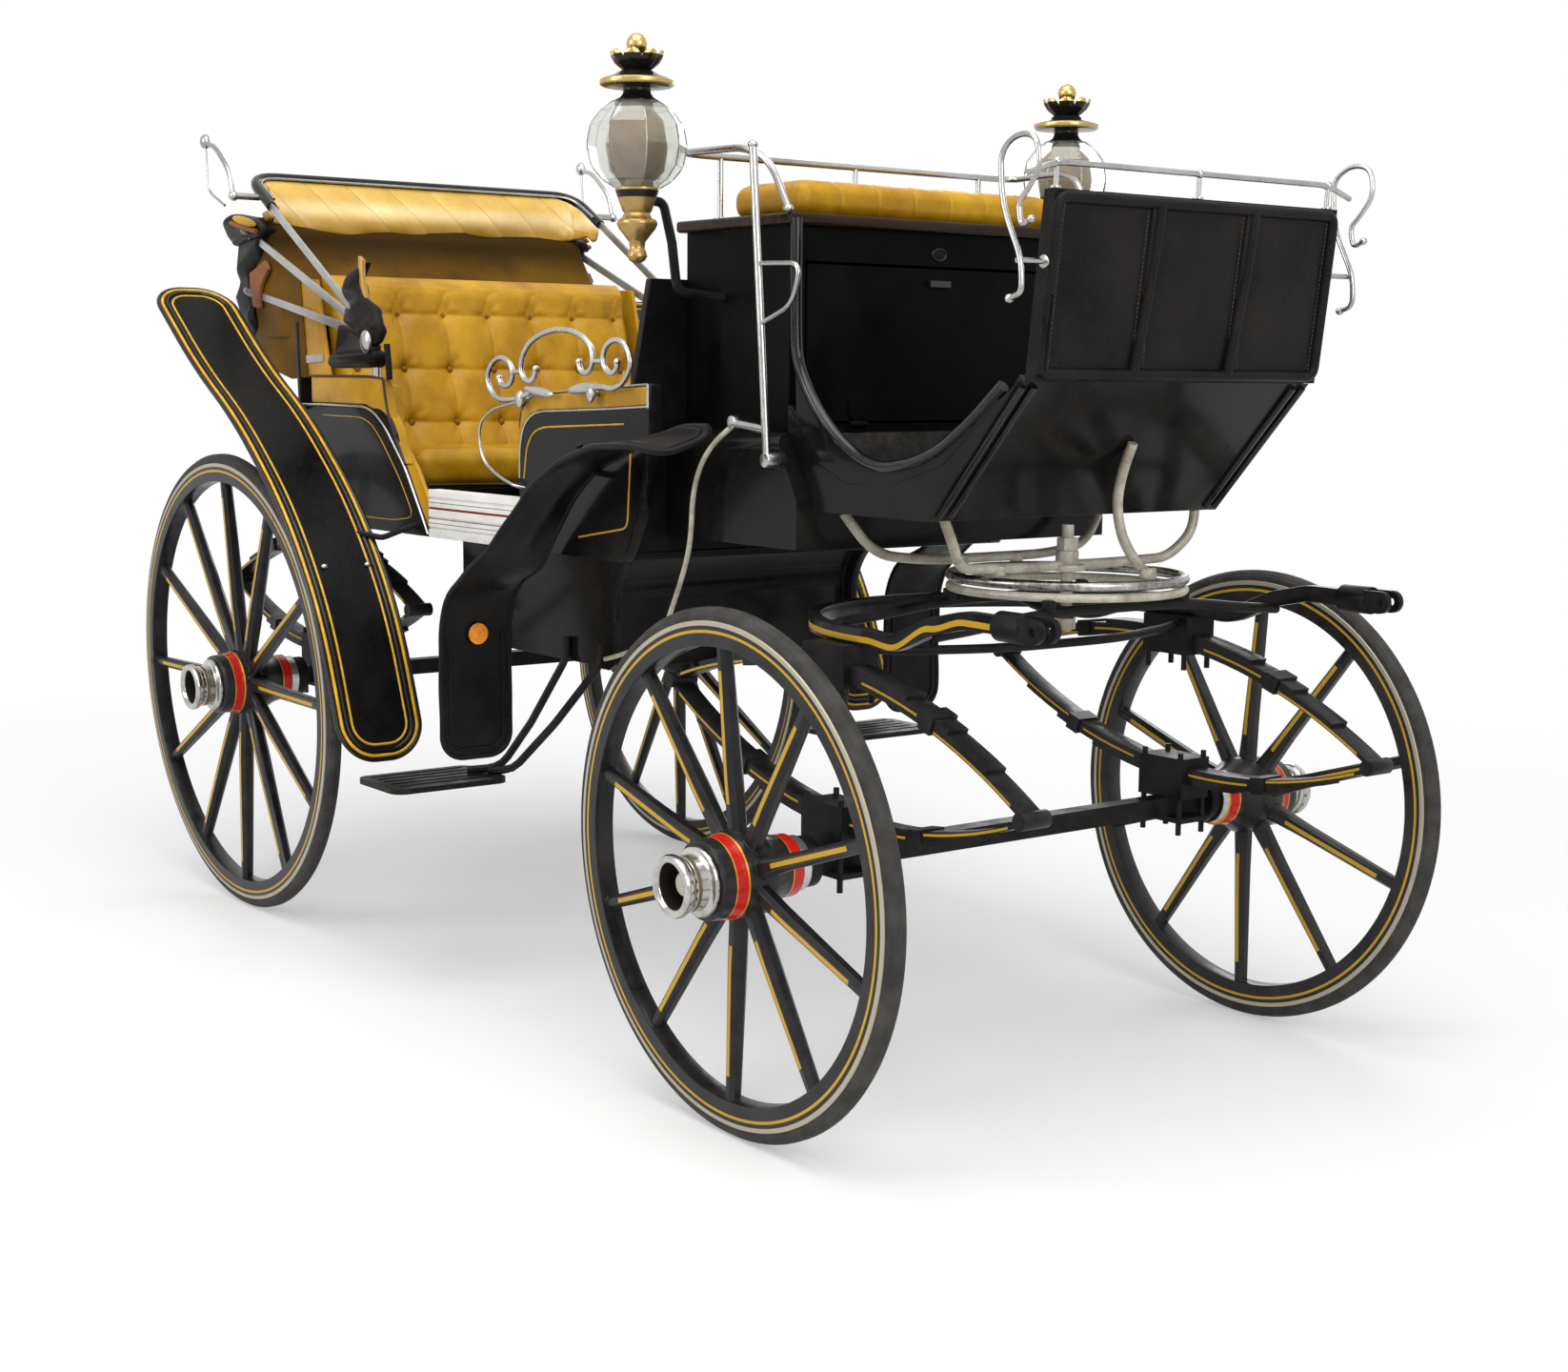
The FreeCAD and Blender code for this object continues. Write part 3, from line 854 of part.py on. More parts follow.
hood_stay = max(hood_stay.Solids, key=lambda solid: solid.Volume)
write("hood_stays", pair(hood_stay))

# the folded leather and its lining, one soft pile between the bows
PILE_HALF_W = HOOD_HALF_W - 24
# columns: x behind the hood's pivot and height above it, as the middle and the end of each arc round the pile
PILE_ARCS = (((-540, 145), (-630, 283)), ((-730, 363), (-840, 315)), ((-898, 175), (-840, 15)),
             ((-660, -33), (-510, 45)))


def by_pivot(place):
    return (HOOD_X + place[0], HOOD_Z + place[1])


pile = side_plate(by_pivot(PILE_ARCS[-1][1]), [(by_pivot(middle), by_pivot(end)) for middle, end in PILE_ARCS],
                  -PILE_HALF_W, PILE_HALF_W)
pile = pile.cut(bow_frame)
write("hood_leather", max(pile.Solids, key=lambda solid: solid.Volume))

# ---------------------------------------------------------------- handles and brake
HANDLE_Y, HANDLE_R, HANDLE_BEND = BODY_HALF_W + 22, 5.5, 20.0
# columns: (x, z) along the middle of each bar
REAR_SCROLL = ((-900, 1279), (-950, 1264), (-1021, 1259), (-1057, 1268), (-1078, 1289), (-1082, 1313),
               (-1063, 1337), (-1026, 1349), (-993, 1339), (-975, 1320), (-980, 1299), (-1001, 1287),
               (-1025, 1292), (-1033, 1306))
ARCH = ((-884, 1325), (-888, 1309), (-908, 1297), (-933, 1304), (-944, 1321), (-939, 1349), (-911, 1376),
        (-865, 1393), (-812, 1402), (-750, 1400), (-699, 1386), (-672, 1366), (-667, 1342), (-674, 1324),
        (-695, 1315), (-714, 1321), (-719, 1339))
FRONT_SCROLL = ((-581, 1339), (-581, 1324), (-599, 1315), (-624, 1324), (-632, 1344), (-624, 1366),
                (-599, 1380), (-566, 1379), (-542, 1361), (-532, 1337), (-540, 1316), (-562, 1296),
                (-599, 1286), (-636, 1291), (-740, 1284))
# columns: (x, z) of each bracket's round lug
HANDLE_LUGS = ((-950, 1262), (-676, 1278))
# columns: (x, z) of a leaf's root, of the middle and end of its upper edge, of the middle of its lower edge
LEAVES = (((-935, 1270), (-880, 1290), (-822, 1280), (-878, 1271)),
          ((-645, 1290), (-704, 1301), (-762, 1276), (-705, 1282)))
handle = [rod([(x, HANDLE_Y, z) for x, z in bar], HANDLE_BEND, HANDLE_R)
          for bar in (REAR_SCROLL, ARCH, FRONT_SCROLL)]
for x, z in HANDLE_LUGS:
    handle.append(Part.makeCylinder(15, 10, V(x, HANDLE_Y - 5, z), Y_AXIS))
    handle.append(Part.makeCylinder(6, HANDLE_Y - BODY_HALF_W + 10, V(x, BODY_HALF_W - 10, z), Y_AXIS))
for root, upper, tip, lower in LEAVES:
    handle.append(side_plate(root, [(upper, tip), (lower, root)], HANDLE_Y - 7, HANDLE_Y + 7))
for x, z in ((-977, 1318), (-669, 1340)):
    handle.append(Part.makeCylinder(HANDLE_R - 1, 38, V(x, HANDLE_Y, z), X_AXIS))
# a thin guard rod runs from the rear lug round to the panel's door edge
handle.append(rod([(-955, HANDLE_Y, 1258), (-1064, HANDLE_Y, 1240), (-1113, HANDLE_Y, 1214),
                   (-1120, HANDLE_Y, 1177),
                   (-1102, HANDLE_Y, 1130), (-1042, HANDLE_Y, 1102), (-982, HANDLE_Y - 6, 1084),
                   (-968, BODY_HALF_W - 4, 1080)], 30, 3.2))
handle = fuse(handle).cut(front_quarter)
write("grab_handles", pair(max(handle.Solids, key=lambda solid: solid.Volume)))

LEVER_Y = -(BULGE_HALF_W + 38)
lever = rod([(-222, LEVER_Y, 1163), (-240, LEVER_Y, 1380), (-271, LEVER_Y, 1730)], 600, 8)
grip = rod([(-250, LEVER_Y, 1516), (-125, LEVER_Y, 1512), (-150, LEVER_Y, 1440), (-242, LEVER_Y, 1408)], 30, 5)
lever_arm = Part.makeCylinder(8, 100, V(-228, LEVER_Y, 1218), V(-1, 0, 0.1))
pivot = Part.makeCylinder(14, 46, V(-222, LEVER_Y - 8, 1163), Y_AXIS)
knuckle = Part.makeCylinder(13, 16, V(-325, LEVER_Y - 8, 1229), Y_AXIS)
write("brake_lever", fuse([lever, grip, lever_arm, pivot, knuckle]).cut(lower_boot))

# the brake cable hangs from the knuckle down the boot's side and ends on the well's cheek
CABLE_R = 5.0
cable_end_y = -(WELL_HALF_W + CHEEK_T + CABLE_R)
cable = rod([(-328, LEVER_Y, 1222), (-402, LEVER_Y, 1188), (-458, LEVER_Y, 1105), (-464, LEVER_Y, 996),
             (-508, LEVER_Y + 8, 920), (-590, LEVER_Y + 34, 838), (-650, LEVER_Y + 62, 800),
             (-730, cable_end_y, 772), (WELL_FRONT + 62, cable_end_y, 730), (WELL_FRONT + 4, cable_end_y, 716)],
            90, CABLE_R)
write("brake_cable", cable.cut(knuckle))
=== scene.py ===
import bpy
from math import atan2, cos, exp, hypot, pi, radians, sin, sqrt
from mathutils import Matrix, Vector


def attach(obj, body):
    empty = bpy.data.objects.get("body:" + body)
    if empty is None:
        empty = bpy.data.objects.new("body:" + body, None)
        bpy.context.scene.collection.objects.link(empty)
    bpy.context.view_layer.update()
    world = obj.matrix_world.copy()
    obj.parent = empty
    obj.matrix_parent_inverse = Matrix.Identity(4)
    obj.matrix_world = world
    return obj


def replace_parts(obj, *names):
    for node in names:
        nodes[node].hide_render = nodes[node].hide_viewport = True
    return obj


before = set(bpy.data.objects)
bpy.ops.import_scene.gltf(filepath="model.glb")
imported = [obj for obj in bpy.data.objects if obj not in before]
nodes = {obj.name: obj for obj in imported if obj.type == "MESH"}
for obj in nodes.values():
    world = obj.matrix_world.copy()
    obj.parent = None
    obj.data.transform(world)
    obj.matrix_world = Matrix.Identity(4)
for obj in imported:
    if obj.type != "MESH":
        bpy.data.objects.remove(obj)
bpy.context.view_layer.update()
bpy.ops.object.select_all(action="DESELECT")

# ------------ wheels
# Dished and cambered wheels of ash and elm, ten spokes in front and twelve behind, shrunk into a
# steel channel that shows as a pale ring.  They are painted gloss black and lined by hand in yellow.
FRONT_X, REAR_X = 1.0565, -1.0235
CAMBER = radians(1.7)
WHEEL_Y, TYRE_DEPTH, DISH = 0.669, 0.022, 0.0051
SIDES = (("left", 1), ("right", -1))
YELLOW, GOLD_LINE, CREAM, RED = (0.46, 0.27, 0.018), (0.66, 0.32, 0.025), (0.4, 0.36, 0.27), (0.5, 0.012, 0.008)


def node(stuff, kind, feeds=(), **settings):
    """One shader node; feeds gives its inputs, each a number, a colour or another node's output."""
    made = stuff.node_tree.nodes.new("ShaderNode" + kind)
    for name, value in settings.items():
        setattr(made, name, value)
    for name, value in dict(feeds).items():
        if isinstance(value, bpy.types.NodeSocket):
            stuff.node_tree.links.new(value, made.inputs[name])
        else:
            made.inputs[name].default_value = value
    return made


def calc(stuff, operation, *values):
    """A sum on one to three numbers or node outputs."""
    return node(stuff, "Math", enumerate(values), operation=operation).outputs[0]


def ramp(stuff, value, start, stop, low=0.0, high=1.0, kind="SMOOTHSTEP"):
    """A value that goes from low to high while another goes from start to stop."""
    return node(stuff, "MapRange", {"Value": value, "From Min": start, "From Max": stop, "To Min": low,
        "To Max": high}, interpolation_type=kind).outputs[0]


def radius_of(stuff, a, b):
    """How far a point lies from an axis, from its distances a and b across it."""
    return calc(stuff, "SQRT", calc(stuff, "ADD", calc(stuff, "MULTIPLY", a, a), calc(stuff, "MULTIPLY", b, b)))


def mask(finish, *tests):
    """1 where every (value, middle, half width) test holds, else 0; "x", "y" and "z" name the finish's own."""
    stuff, held = finish["stuff"], 1.0
    for value, middle, half in tests:
        value = finish[value] if isinstance(value, str) else value
        held = calc(stuff, "MULTIPLY", held, calc(stuff, "COMPARE", value, middle, half))
    return held


def new_finish(name, dark, light, rough, patch=7.0, grain=350.0, relief=0.0001, metal=0.0, coat=0.0, gleam=0.18,
        centre=(0, 0, 0), turn=(0, 0, 0), stretch=(1, 1, 1)):
    """A finish in two tones: broad soft patches, and a fine grain that lifts the surface and dulls its gloss."""
    stuff = bpy.data.materials.new(name)
    stuff.use_nodes = True
    shader = stuff.node_tree.nodes["Principled BSDF"]
    for key, value in (("Metallic", metal), ("Coat Weight", coat), ("Coat Roughness", 0.1),
            ("Specular IOR Level", gleam)):
        shader.inputs[key].default_value = value
    coordinates = node(stuff, "TexCoord")
    place = node(stuff, "Mapping", {"Vector": coordinates.outputs["Object"], "Location": centre, "Rotation": turn,
        "Scale": stretch}, vector_type="TEXTURE").outputs[0]
    broad = node(stuff, "TexNoise", {"Vector": place, "Scale": patch, "Detail": 6.0,
        "Roughness": 0.62}).outputs["Fac"]
    fine = node(stuff, "TexNoise", {"Vector": place, "Scale": grain, "Detail": 4.0}).outputs["Fac"]
    mixed = calc(stuff, "ADD", calc(stuff, "MULTIPLY", broad, 0.75), calc(stuff, "MULTIPLY", fine, 0.25))
    share = ramp(stuff, mixed, 0.38, 0.64, kind="LINEAR")
    colour = node(stuff, "Mix", {0: share, 6: (*dark, 1), 7: (*light, 1)}, data_type="RGBA").outputs[2]
    gloss = ramp(stuff, mixed, 0.38, 0.64, *rough, "LINEAR")
    lifted = node(stuff, "Bump", {"Height": fine, "Distance": relief, "Strength": 0.6}).outputs[0]
    for key, socket in (("Base Color", colour), ("Roughness", gloss), ("Normal", lifted)):
        stuff.node_tree.links.new(socket, shader.inputs[key])
    x, y, z = node(stuff, "SeparateXYZ", {"Vector": place}).outputs
    return {"stuff": stuff, "shader": shader, "place": place, "x": x, "y": y, "z": z, "broad": broad,
        "normal": coordinates.outputs["Normal"]}


def lay(finish, where, tone, rough=0.4, metal=0.0):
    """Another paint or metal over a finish, where the mask is 1."""
    stuff, shader = finish["stuff"], finish["shader"]
    for key, value in (("Base Color", tone), ("Roughness", rough), ("Metallic", metal)):
        socket = shader.inputs[key]
        before = socket.links[0].from_socket if socket.is_linked else socket.default_value
        if key == "Base Color":
            after = node(stuff, "Mix", {0: where, 6: before, 7: (*tone, 1)}, data_type="RGBA").outputs[2]
        elif not socket.is_linked and before == value:
            continue
        else:
            after = node(stuff, "Mix", {0: where, 2: before, 3: value}).outputs[0]
        stuff.node_tree.links.new(after, socket)


def facing(finish, way):
    """How squarely the surface looks along a direction, the same from both sides."""
    dot = node(finish["stuff"], "VectorMath", {0: finish["normal"], 1: way}, operation="DOT_PRODUCT").outputs["Value"]
    return calc(finish["stuff"], "ABSOLUTE", dot)


def dress(finish, *names, ease=0.0):
    """Give CAD nodes or pieces a finish, and nodes eased edges too where a width is given."""
    for name in names:
        piece = nodes.get(name) or bpy.data.objects[name]
        piece.data.materials.clear()
        piece.data.materials.append(finish["stuff"])
    if ease:
        soften(ease, *names)


def soften(width, *names):
    """Ease the sharp edges of CAD nodes, whose mesh stays as it is under the modifiers."""
    for name in names:
        weld = nodes[name].modifiers.new("weld", "WELD")
        weld.merge_threshold = 0.00001
        ease = nodes[name].modifiers.new("ease", "BEVEL")
        ease.width, ease.segments, ease.limit_method, ease.angle_limit = width, 2, "ANGLE", radians(40)
        ease.harden_normals = True


wheel_places = []
for end, x, rim, spokes in (("front", FRONT_X, 0.442, 10), ("rear", REAR_X, 0.536, 12)):
    hub_z = (rim + TYRE_DEPTH) * cos(CAMBER) + DISH * sin(CAMBER)
    for side, sign in SIDES:
        wheel_places.append((end, side, rim, spokes, (x, sign * WHEEL_Y, hub_z), (-CAMBER, 0, 0 if sign > 0 else pi),
            (0, sign * cos(CAMBER), -sin(CAMBER))))

for end, side, rim, spokes, centre, turn, axle_way in wheel_places:
    wood = new_finish(f"{end}_{side}_wheel_paint", (0.008, 0.0075, 0.008), (0.024, 0.021, 0.02), (0.26, 0.42),
        patch=14, relief=0.00008, coat=0.1, centre=centre, turn=turn)
    stuff = wood["stuff"]
    radius = radius_of(stuff, wood["x"], wood["z"])
    flat = facing(wood, axle_way)
    lay(wood, mask(wood, (radius, rim - 0.004, 0.0046)), CREAM, 0.42, 0.5)
    lay(wood, mask(wood, (radius, rim - 0.0185, 0.0026), (flat, 1, 0.2)), YELLOW, 0.4)
    turns = calc(stuff, "MULTIPLY", calc(stuff, "ARCTAN2", wood["x"], wood["z"]), spokes / (2 * pi))
    off = calc(stuff, "MULTIPLY", calc(stuff, "SUBTRACT", turns, calc(stuff, "ROUND", turns)), 2 * pi / spokes)
    beside = calc(stuff, "MULTIPLY", off, radius)
    low, high = 0.125, rim - 0.085
    lay(wood, mask(wood, (beside, 0, 0.0042), (radius, (low + high) / 2, (high - low) / 2), (flat, 1, 0.25)), YELLOW,
        0.4)
    for middle, half, tone, gloss, metal in ((0.021, 0.0125, GOLD_LINE, 0.32, 0.6), (0.021, 0.01, RED, 0.25, 0.0),
            (-0.112, 0.014, GOLD_LINE, 0.32, 0.6), (-0.112, 0.011, RED, 0.25, 0.0),
            (-0.134, 0.0085, (0.6, 0.6, 0.58), 0.3, 0.9)):
        lay(wood, mask(wood, ("y", middle, half), (radius, 0.04, 0.045)), tone, gloss, metal)
    dress(wood, f"{end}_{side}_wheel", ease=0.0018)

# ------------ tyres
# A solid rubber tyre is squeezed into each wheel's channel.  The rubber has gone dull and grey,
# with dust rubbed into it.
for end, side, rim, spokes, centre, turn, axle_way in wheel_places:
    rubber = new_finish(f"{end}_{side}_tyre_rubber", (0.021, 0.02, 0.019), (0.058, 0.055, 0.05), (0.62, 0.85),
        patch=22, grain=600, relief=0.0003, centre=centre, turn=turn)
    dress(rubber, f"{end}_{side}_tyre")

# ------------ hub caps
# Each hub is closed by a spun barrel of nickel plate that screws on over the axle nut.  Its end is
# open, so the cream painted nut shows, and the hollow round it is painted near black for its shade.


def mm(*places):
    """Points given in millimetres."""
    return [tuple(value / 1000 for value in place) for place in places]


def finished(name, parts, finish, body="carriage_body", smooth=40):
    """Join the parts into one named piece and give it its finish and body."""
    bpy.ops.object.select_all(action="DESELECT")
    for part in parts:
        part.select_set(True)
    made = bpy.context.view_layer.objects.active = parts[0]
    if len(parts) > 1:
        bpy.ops.object.join()
    bpy.ops.object.transform_apply()
    bpy.ops.object.shade_smooth_by_angle(angle=radians(smooth))
    made.name = made.data.name = name
    dress(finish, name)
    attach(made, body)
    made.select_set(False)
    return made


def bent(places, bend):
    """The points, with each corner between them rounded off."""
    path = [Vector(places[0])]
    for before, corner, after in zip(places, places[1:], places[2:]):
        corner = Vector(corner)
        back, on = Vector(before) - corner, Vector(after) - corner
        reach = min(bend, 0.48 * back.length, 0.48 * on.length)
        back, on = back.normalized() * reach, on.normalized() * reach
        path += [corner + back * (1 - k / 6) ** 2 + on * (k / 6) ** 2 for k in range(7)]
    return path + [Vector(places[-1])]


def shaped(piece, kind, **settings):
    """Give a piece, which is the active one, a modifier and apply it."""
    made = piece.modifiers.new(kind, kind)
    for name, value in settings.items():
        setattr(made, name, value)
    bpy.ops.object.modifier_apply(modifier=kind)
    return piece


def line_through(path, closed=False, flat=False):
    """A curve object through the points."""
    bpy.ops.curve.primitive_nurbs_path_add()
    line = bpy.context.object
    line.data.splines.clear()
    line.data.dimensions = "2D" if flat else "3D"
    run = line.data.splines.new("POLY")
    run.points.add(len(path) - 1)
    for point, place in zip(run.points, path):
        point.co = (*place, 1) if len(place) == 3 else (*place, 0, 1)
    run.use_cyclic_u = closed
    return line


def closed_up(piece):
    """Merge a piece's doubled points and turn its faces outwards."""
    bpy.ops.object.mode_set(mode="EDIT")
    bpy.ops.mesh.select_all(action="SELECT")
    bpy.ops.mesh.remove_doubles(threshold=0.00002)
    bpy.ops.mesh.normals_make_consistent(inside=False)
    bpy.ops.object.mode_set(mode="OBJECT")
    return piece


def bar(places, radius, bend=0.03, closed=False, sides=3):
    """A round bar bent along the points, with closed ends."""
    line = line_through(bent(places, bend) if bend else places, closed)
    line.data.bevel_depth, line.data.bevel_resolution, line.data.use_fill_caps = radius, sides, not closed
    bpy.ops.object.convert(target="MESH")
    return closed_up(bpy.context.object)


def ball(place, radius, stretch=(1, 1, 1), segments=16):
    """A round knob, button or rivet head."""
    bpy.ops.mesh.primitive_uv_sphere_add(segments=segments, ring_count=segments // 2, radius=radius, location=place,
        scale=stretch)
    return bpy.context.object


def disc(place, radius, depth, ease=0.001, turn=(0, 0, 0)):
    """A turned disc with an eased rim."""
    bpy.ops.mesh.primitive_cylinder_add(vertices=32, radius=radius, depth=depth, location=place, rotation=turn)
    return shaped(bpy.context.object, "BEVEL", width=ease, segments=2, limit_method="ANGLE")


def lathe(profile, place, turn, steps=72):
    """A turned solid: its profile is given as (along, radius) from axis to axis, and it turns about Y."""
    line_through([(radius, along, 0) for along, radius in profile])
    bpy.ops.object.convert(target="MESH")
    made = shaped(bpy.context.object, "SCREW", axis="Y", steps=steps, render_steps=steps, use_merge_vertices=True)
    closed_up(made)
    made.location, made.rotation_euler = place, turn
    return made


for end, side, rim, spokes, centre, turn, axle_way in wheel_places:
    nickel = new_finish(f"{end}_{side}_cap_nickel", (0.34, 0.335, 0.32), (0.62, 0.61, 0.58), (0.12, 0.3), patch=16,
        grain=500, relief=0.00003, metal=1.0, centre=centre, turn=turn)
    stuff = nickel["stuff"]
    radius = radius_of(stuff, nickel["x"], nickel["z"])
    lay(nickel, mask(nickel, ("y", 0.092, 0.0035)), (0.16, 0.12, 0.07), 0.5, 0.6)
    # Painted shade: the hollow of the open end is coloured near black.
    lay(nickel, mask(nickel, (radius, 0, 0.0392), ("y", 0.12, 0.0445)), (0.012, 0.009, 0.006), 0.6)
    lay(nickel, mask(nickel, (radius, 0, 0.0206), ("y", 0.12, 0.0445)), (0.5, 0.48, 0.38), 0.35)
    cap = lathe(mm((58.2, 0), (58.2, 60.5), (61.5, 62), (66.5, 62), (69.5, 60), (70.5, 53), (73.5, 49.5), (87, 47.8),
        (88, 48.6), (95.5, 48.6), (96.5, 47.8), (103, 48.5), (106.5, 51.5), (108.5, 54), (112, 55), (119, 55),
        (122.5, 53), (124, 49), (123.5, 44), (120.5, 40.5), (116, 39), (78, 38.8), (76.5, 37), (76.5, 20.5),
        (95.5, 20.5), (97.8, 18.5), (97.8, 0)), centre, turn)
    cap = finished(f"{end}_{side}_cap", [cap], nickel, f"{end}_{side}_wheel", smooth=35)
    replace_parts(cap, f"{end}_{side}_hub_cap")

# ------------ axles and springs
# Forged square axles and four elliptic springs of stepped leaves, held by band clips and clamp
# plates.  All are black, and each leaf pack is lined in yellow along its sides.
iron = new_finish("black_iron_paint", (0.004, 0.004, 0.004), (0.015, 0.014, 0.013), (0.34, 0.55), patch=16,
    grain=260, relief=0.0004, gleam=0.1)
dress(iron, "front_axle", "rear_axle", "front_spring_clamps", "rear_spring_clamps", "wing_stays", "lamp_brackets")
soften(0.0015, "front_axle", "rear_axle", "front_spring_clamps", "rear_spring_clamps")

SPRING_HALF, CAMBER_H, LEAF_T = 0.5, 0.118, 0.008
LEAF_R = (SPRING_HALF ** 2 + CAMBER_H ** 2) / (2 * CAMBER_H)
for end, x, middle_z, tilt in (("front", FRONT_X, 0.6731, radians(6.5)), ("rear", REAR_X, 0.7671, 0.0)):
    leaf = new_finish(f"{end}_spring_paint", (0.008, 0.0075, 0.007), (0.022, 0.02, 0.019), (0.3, 0.5), patch=16,
        gleam=0.1, relief=0.0002, coat=0.08, centre=(x, 0, middle_z), turn=(0, tilt, 0))
    stuff = leaf["stuff"]
    height = calc(stuff, "ADD", calc(stuff, "ABSOLUTE", leaf["z"]), LEAF_R - CAMBER_H)
    radius = radius_of(stuff, leaf["x"], height)
    sideways = facing(leaf, (0, 1, 0))
    along = calc(stuff, "ABSOLUTE", leaf["x"])
    for start, stop, layer in ((0.27, 0.47, 0.5), (0.075, 0.225, 1.5)):
        lay(leaf, mask(leaf, (radius, LEAF_R + LEAF_T * layer, 0.0022), (sideways, 1, 0.2),
            (along, (start + stop) / 2, (stop - start) / 2)), YELLOW, 0.4)
    dress(leaf, f"{end}_springs", ease=0.001)

# ------------ forecarriage
# A horseshoe of flat iron carries the shafts and turns with the front axle on a fifth wheel: two
# rings of iron that slide on each other, the upper one worn bright, under white painted hoops.
futchell = new_finish("futchell_paint", (0.006, 0.006, 0.006), (0.018, 0.016, 0.015), (0.26, 0.42), patch=12,
    coat=0.1, gleam=0.1)
stuff = futchell["stuff"]
behind = calc(stuff, "MINIMUM", calc(stuff, "SUBTRACT", futchell["x"], 1.1225), 0.0)
outside = radius_of(stuff, behind, futchell["y"])
level = 0.868
for start, stop, rise in ((1.1345, 1.1985, -0.006), (1.1985, 1.3025, 0.042), (1.3025, 1.3865, 0.018),
        (1.3865, 1.5415, -0.002)):
    level = calc(stuff, "ADD", level, ramp(stuff, futchell["x"], start, stop, 0, rise))
below = calc(stuff, "SUBTRACT", futchell["z"], level)
lay(futchell, mask(futchell, (outside, 0.437, 0.0016), (below, -0.004, 0.0052), ("x", 1.03, 0.47)), YELLOW, 0.4)
dress(futchell, "futchells", ease=0.002)
dress(iron, "shaft_jaws", ease=0.0012)
silver = new_finish("worn_silver", (0.34, 0.335, 0.325), (0.52, 0.515, 0.5), (0.2, 0.32), patch=5, grain=120,
    relief=0.00001, metal=1.0)
ring_iron = new_finish("ring_iron", (0.1, 0.095, 0.088), (0.5, 0.49, 0.47), (0.16, 0.42), patch=11, grain=140,
    relief=0.0001, metal=1.0)
white_iron = new_finish("white_iron_paint", (0.26, 0.225, 0.16), (0.58, 0.555, 0.48), (0.3, 0.5), patch=14,
    relief=0.0002, metal=0.15)
dress(white_iron, "king_bolt")
KING_X, RING_R, IRON_R, IRON_Z, BEARER = FRONT_X + 0.12, 0.2125, 0.0095, 0.978, 0.13


def side_view(y, shape):
    """The (x, z) points of a side view, all at one y."""
    return [(x, y, z) for x, z in shape]


def whole(half):
    """A run of points from the right side to the left, from its left half."""
    return [(x, -y, z) for x, y, z in half] + half[::-1]


def circle(x, z, radius, thick):
    """A closed ring of round bar lying flat."""
    bpy.ops.mesh.primitive_torus_add(location=(x, 0, z), major_radius=radius, minor_radius=thick, major_segments=96,
        minor_segments=16)
    return bpy.context.object


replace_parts(finished("top_slip_ring", [circle(KING_X, 0.9585, RING_R, 0.0092)], ring_iron), "top_ring")
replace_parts(finished("lower_slip_ring", [circle(KING_X, 0.9385, RING_R, 0.008)], white_iron,
    "forecarriage"), "lower_ring")
hoop = [(1.1925, 0.318, 1.082), (1.2025, 0.3, 1.028), (1.1785, 0.262, IRON_Z + 0.004), (KING_X, 0.12, IRON_Z)]
irons = [bar(whole(hoop), IRON_R, 0.055, sides=4), bar(whole([(0.9345, 0.33, 1.07), (0.9505, 0.27, 0.992),
    (0.9645, 0.15, IRON_Z)]), IRON_R, 0.07, sides=4), bar(side_view(0, mm((1332.5, 1204), (1312, 1160), (1296, 1100),
    (1312, 1035), (1356, 988), (1390, 971.5))), IRON_R, 0.06, sides=4),
    disc((KING_X, 0, IRON_Z + 0.008), 0.021, 0.04, 0.004), disc((KING_X, 0, IRON_Z - 0.004), 0.034, 0.012, 0.003)]
for x, y, z in ((KING_X, 0.17, 0.972), (KING_X, -0.17, 0.972), (0.9645, 0.07, 0.972), (0.9645, -0.07, 0.972),
        (1.378, 0, 0.974)):
    irons.append(disc((x, y, z + 0.004), 0.0145, 0.018, 0.003))
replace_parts(finished("fifth_wheel_hoops", irons, white_iron), "fifth_wheel_irons")
# Under the lower ring lie two slender cross bars with short posts, a strut for the king bolt's foot,
# and a bowed rod from one spring clamp to the other.
under = [bar(whole([(1.0865, 0.391, 0.841), (1.1165, 0.33, 0.837), (KING_X, 0.15, 0.835)]), 0.0085, 0.1)]
for x in (KING_X - BEARER, KING_X + BEARER):
    under.append(bar(whole([(x, 0.427, 0.886), (x, 0.34, 0.893), (x, 0.17, 0.912)]), 0.0095, 0.08, sides=4))
    for y in (-0.168, 0.168):
        under.append(disc((x, y, 0.923), 0.0125, 0.022, 0.002))
under.append(bar(side_view(0, ((KING_X - BEARER, 0.912), (KING_X - 0.07, 0.894), (KING_X + 0.07, 0.894),
    (KING_X + BEARER, 0.912))), 0.009, 0.04, sides=4))
under.append(disc((KING_X, 0, 0.894), 0.026, 0.02, 0.003))
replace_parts(finished("ring_bearers", under, iron, "forecarriage"), "transoms")

# ------------ boot and lower boot
# The coachman's foot boot of thin panels, and the rounded box below it, which is carved from one
# thick panel a side.  Both carry many rubbed coats of black varnish, thinner on the corners.
ACROSS, AHEAD = (pi / 2, 0, 0), (0, pi / 2, 0)
VARNISH = dict(dark=(0.003, 0.003, 0.003), light=(0.012, 0.011, 0.01), rough=(0.16, 0.34), patch=5, grain=420,
    relief=0.00006, coat=0.12, gleam=0.08)
varnish = new_finish("black_varnish", **VARNISH)
dress(varnish, "boot", "lower_boot", "well", "body_floor", "front_bulkhead", "back_panel", "seat_frame")
soften(0.004, "boot", "lower_boot", "front_bulkhead", "back_panel")
soften(0.003, "body_floor", "seat_frame")


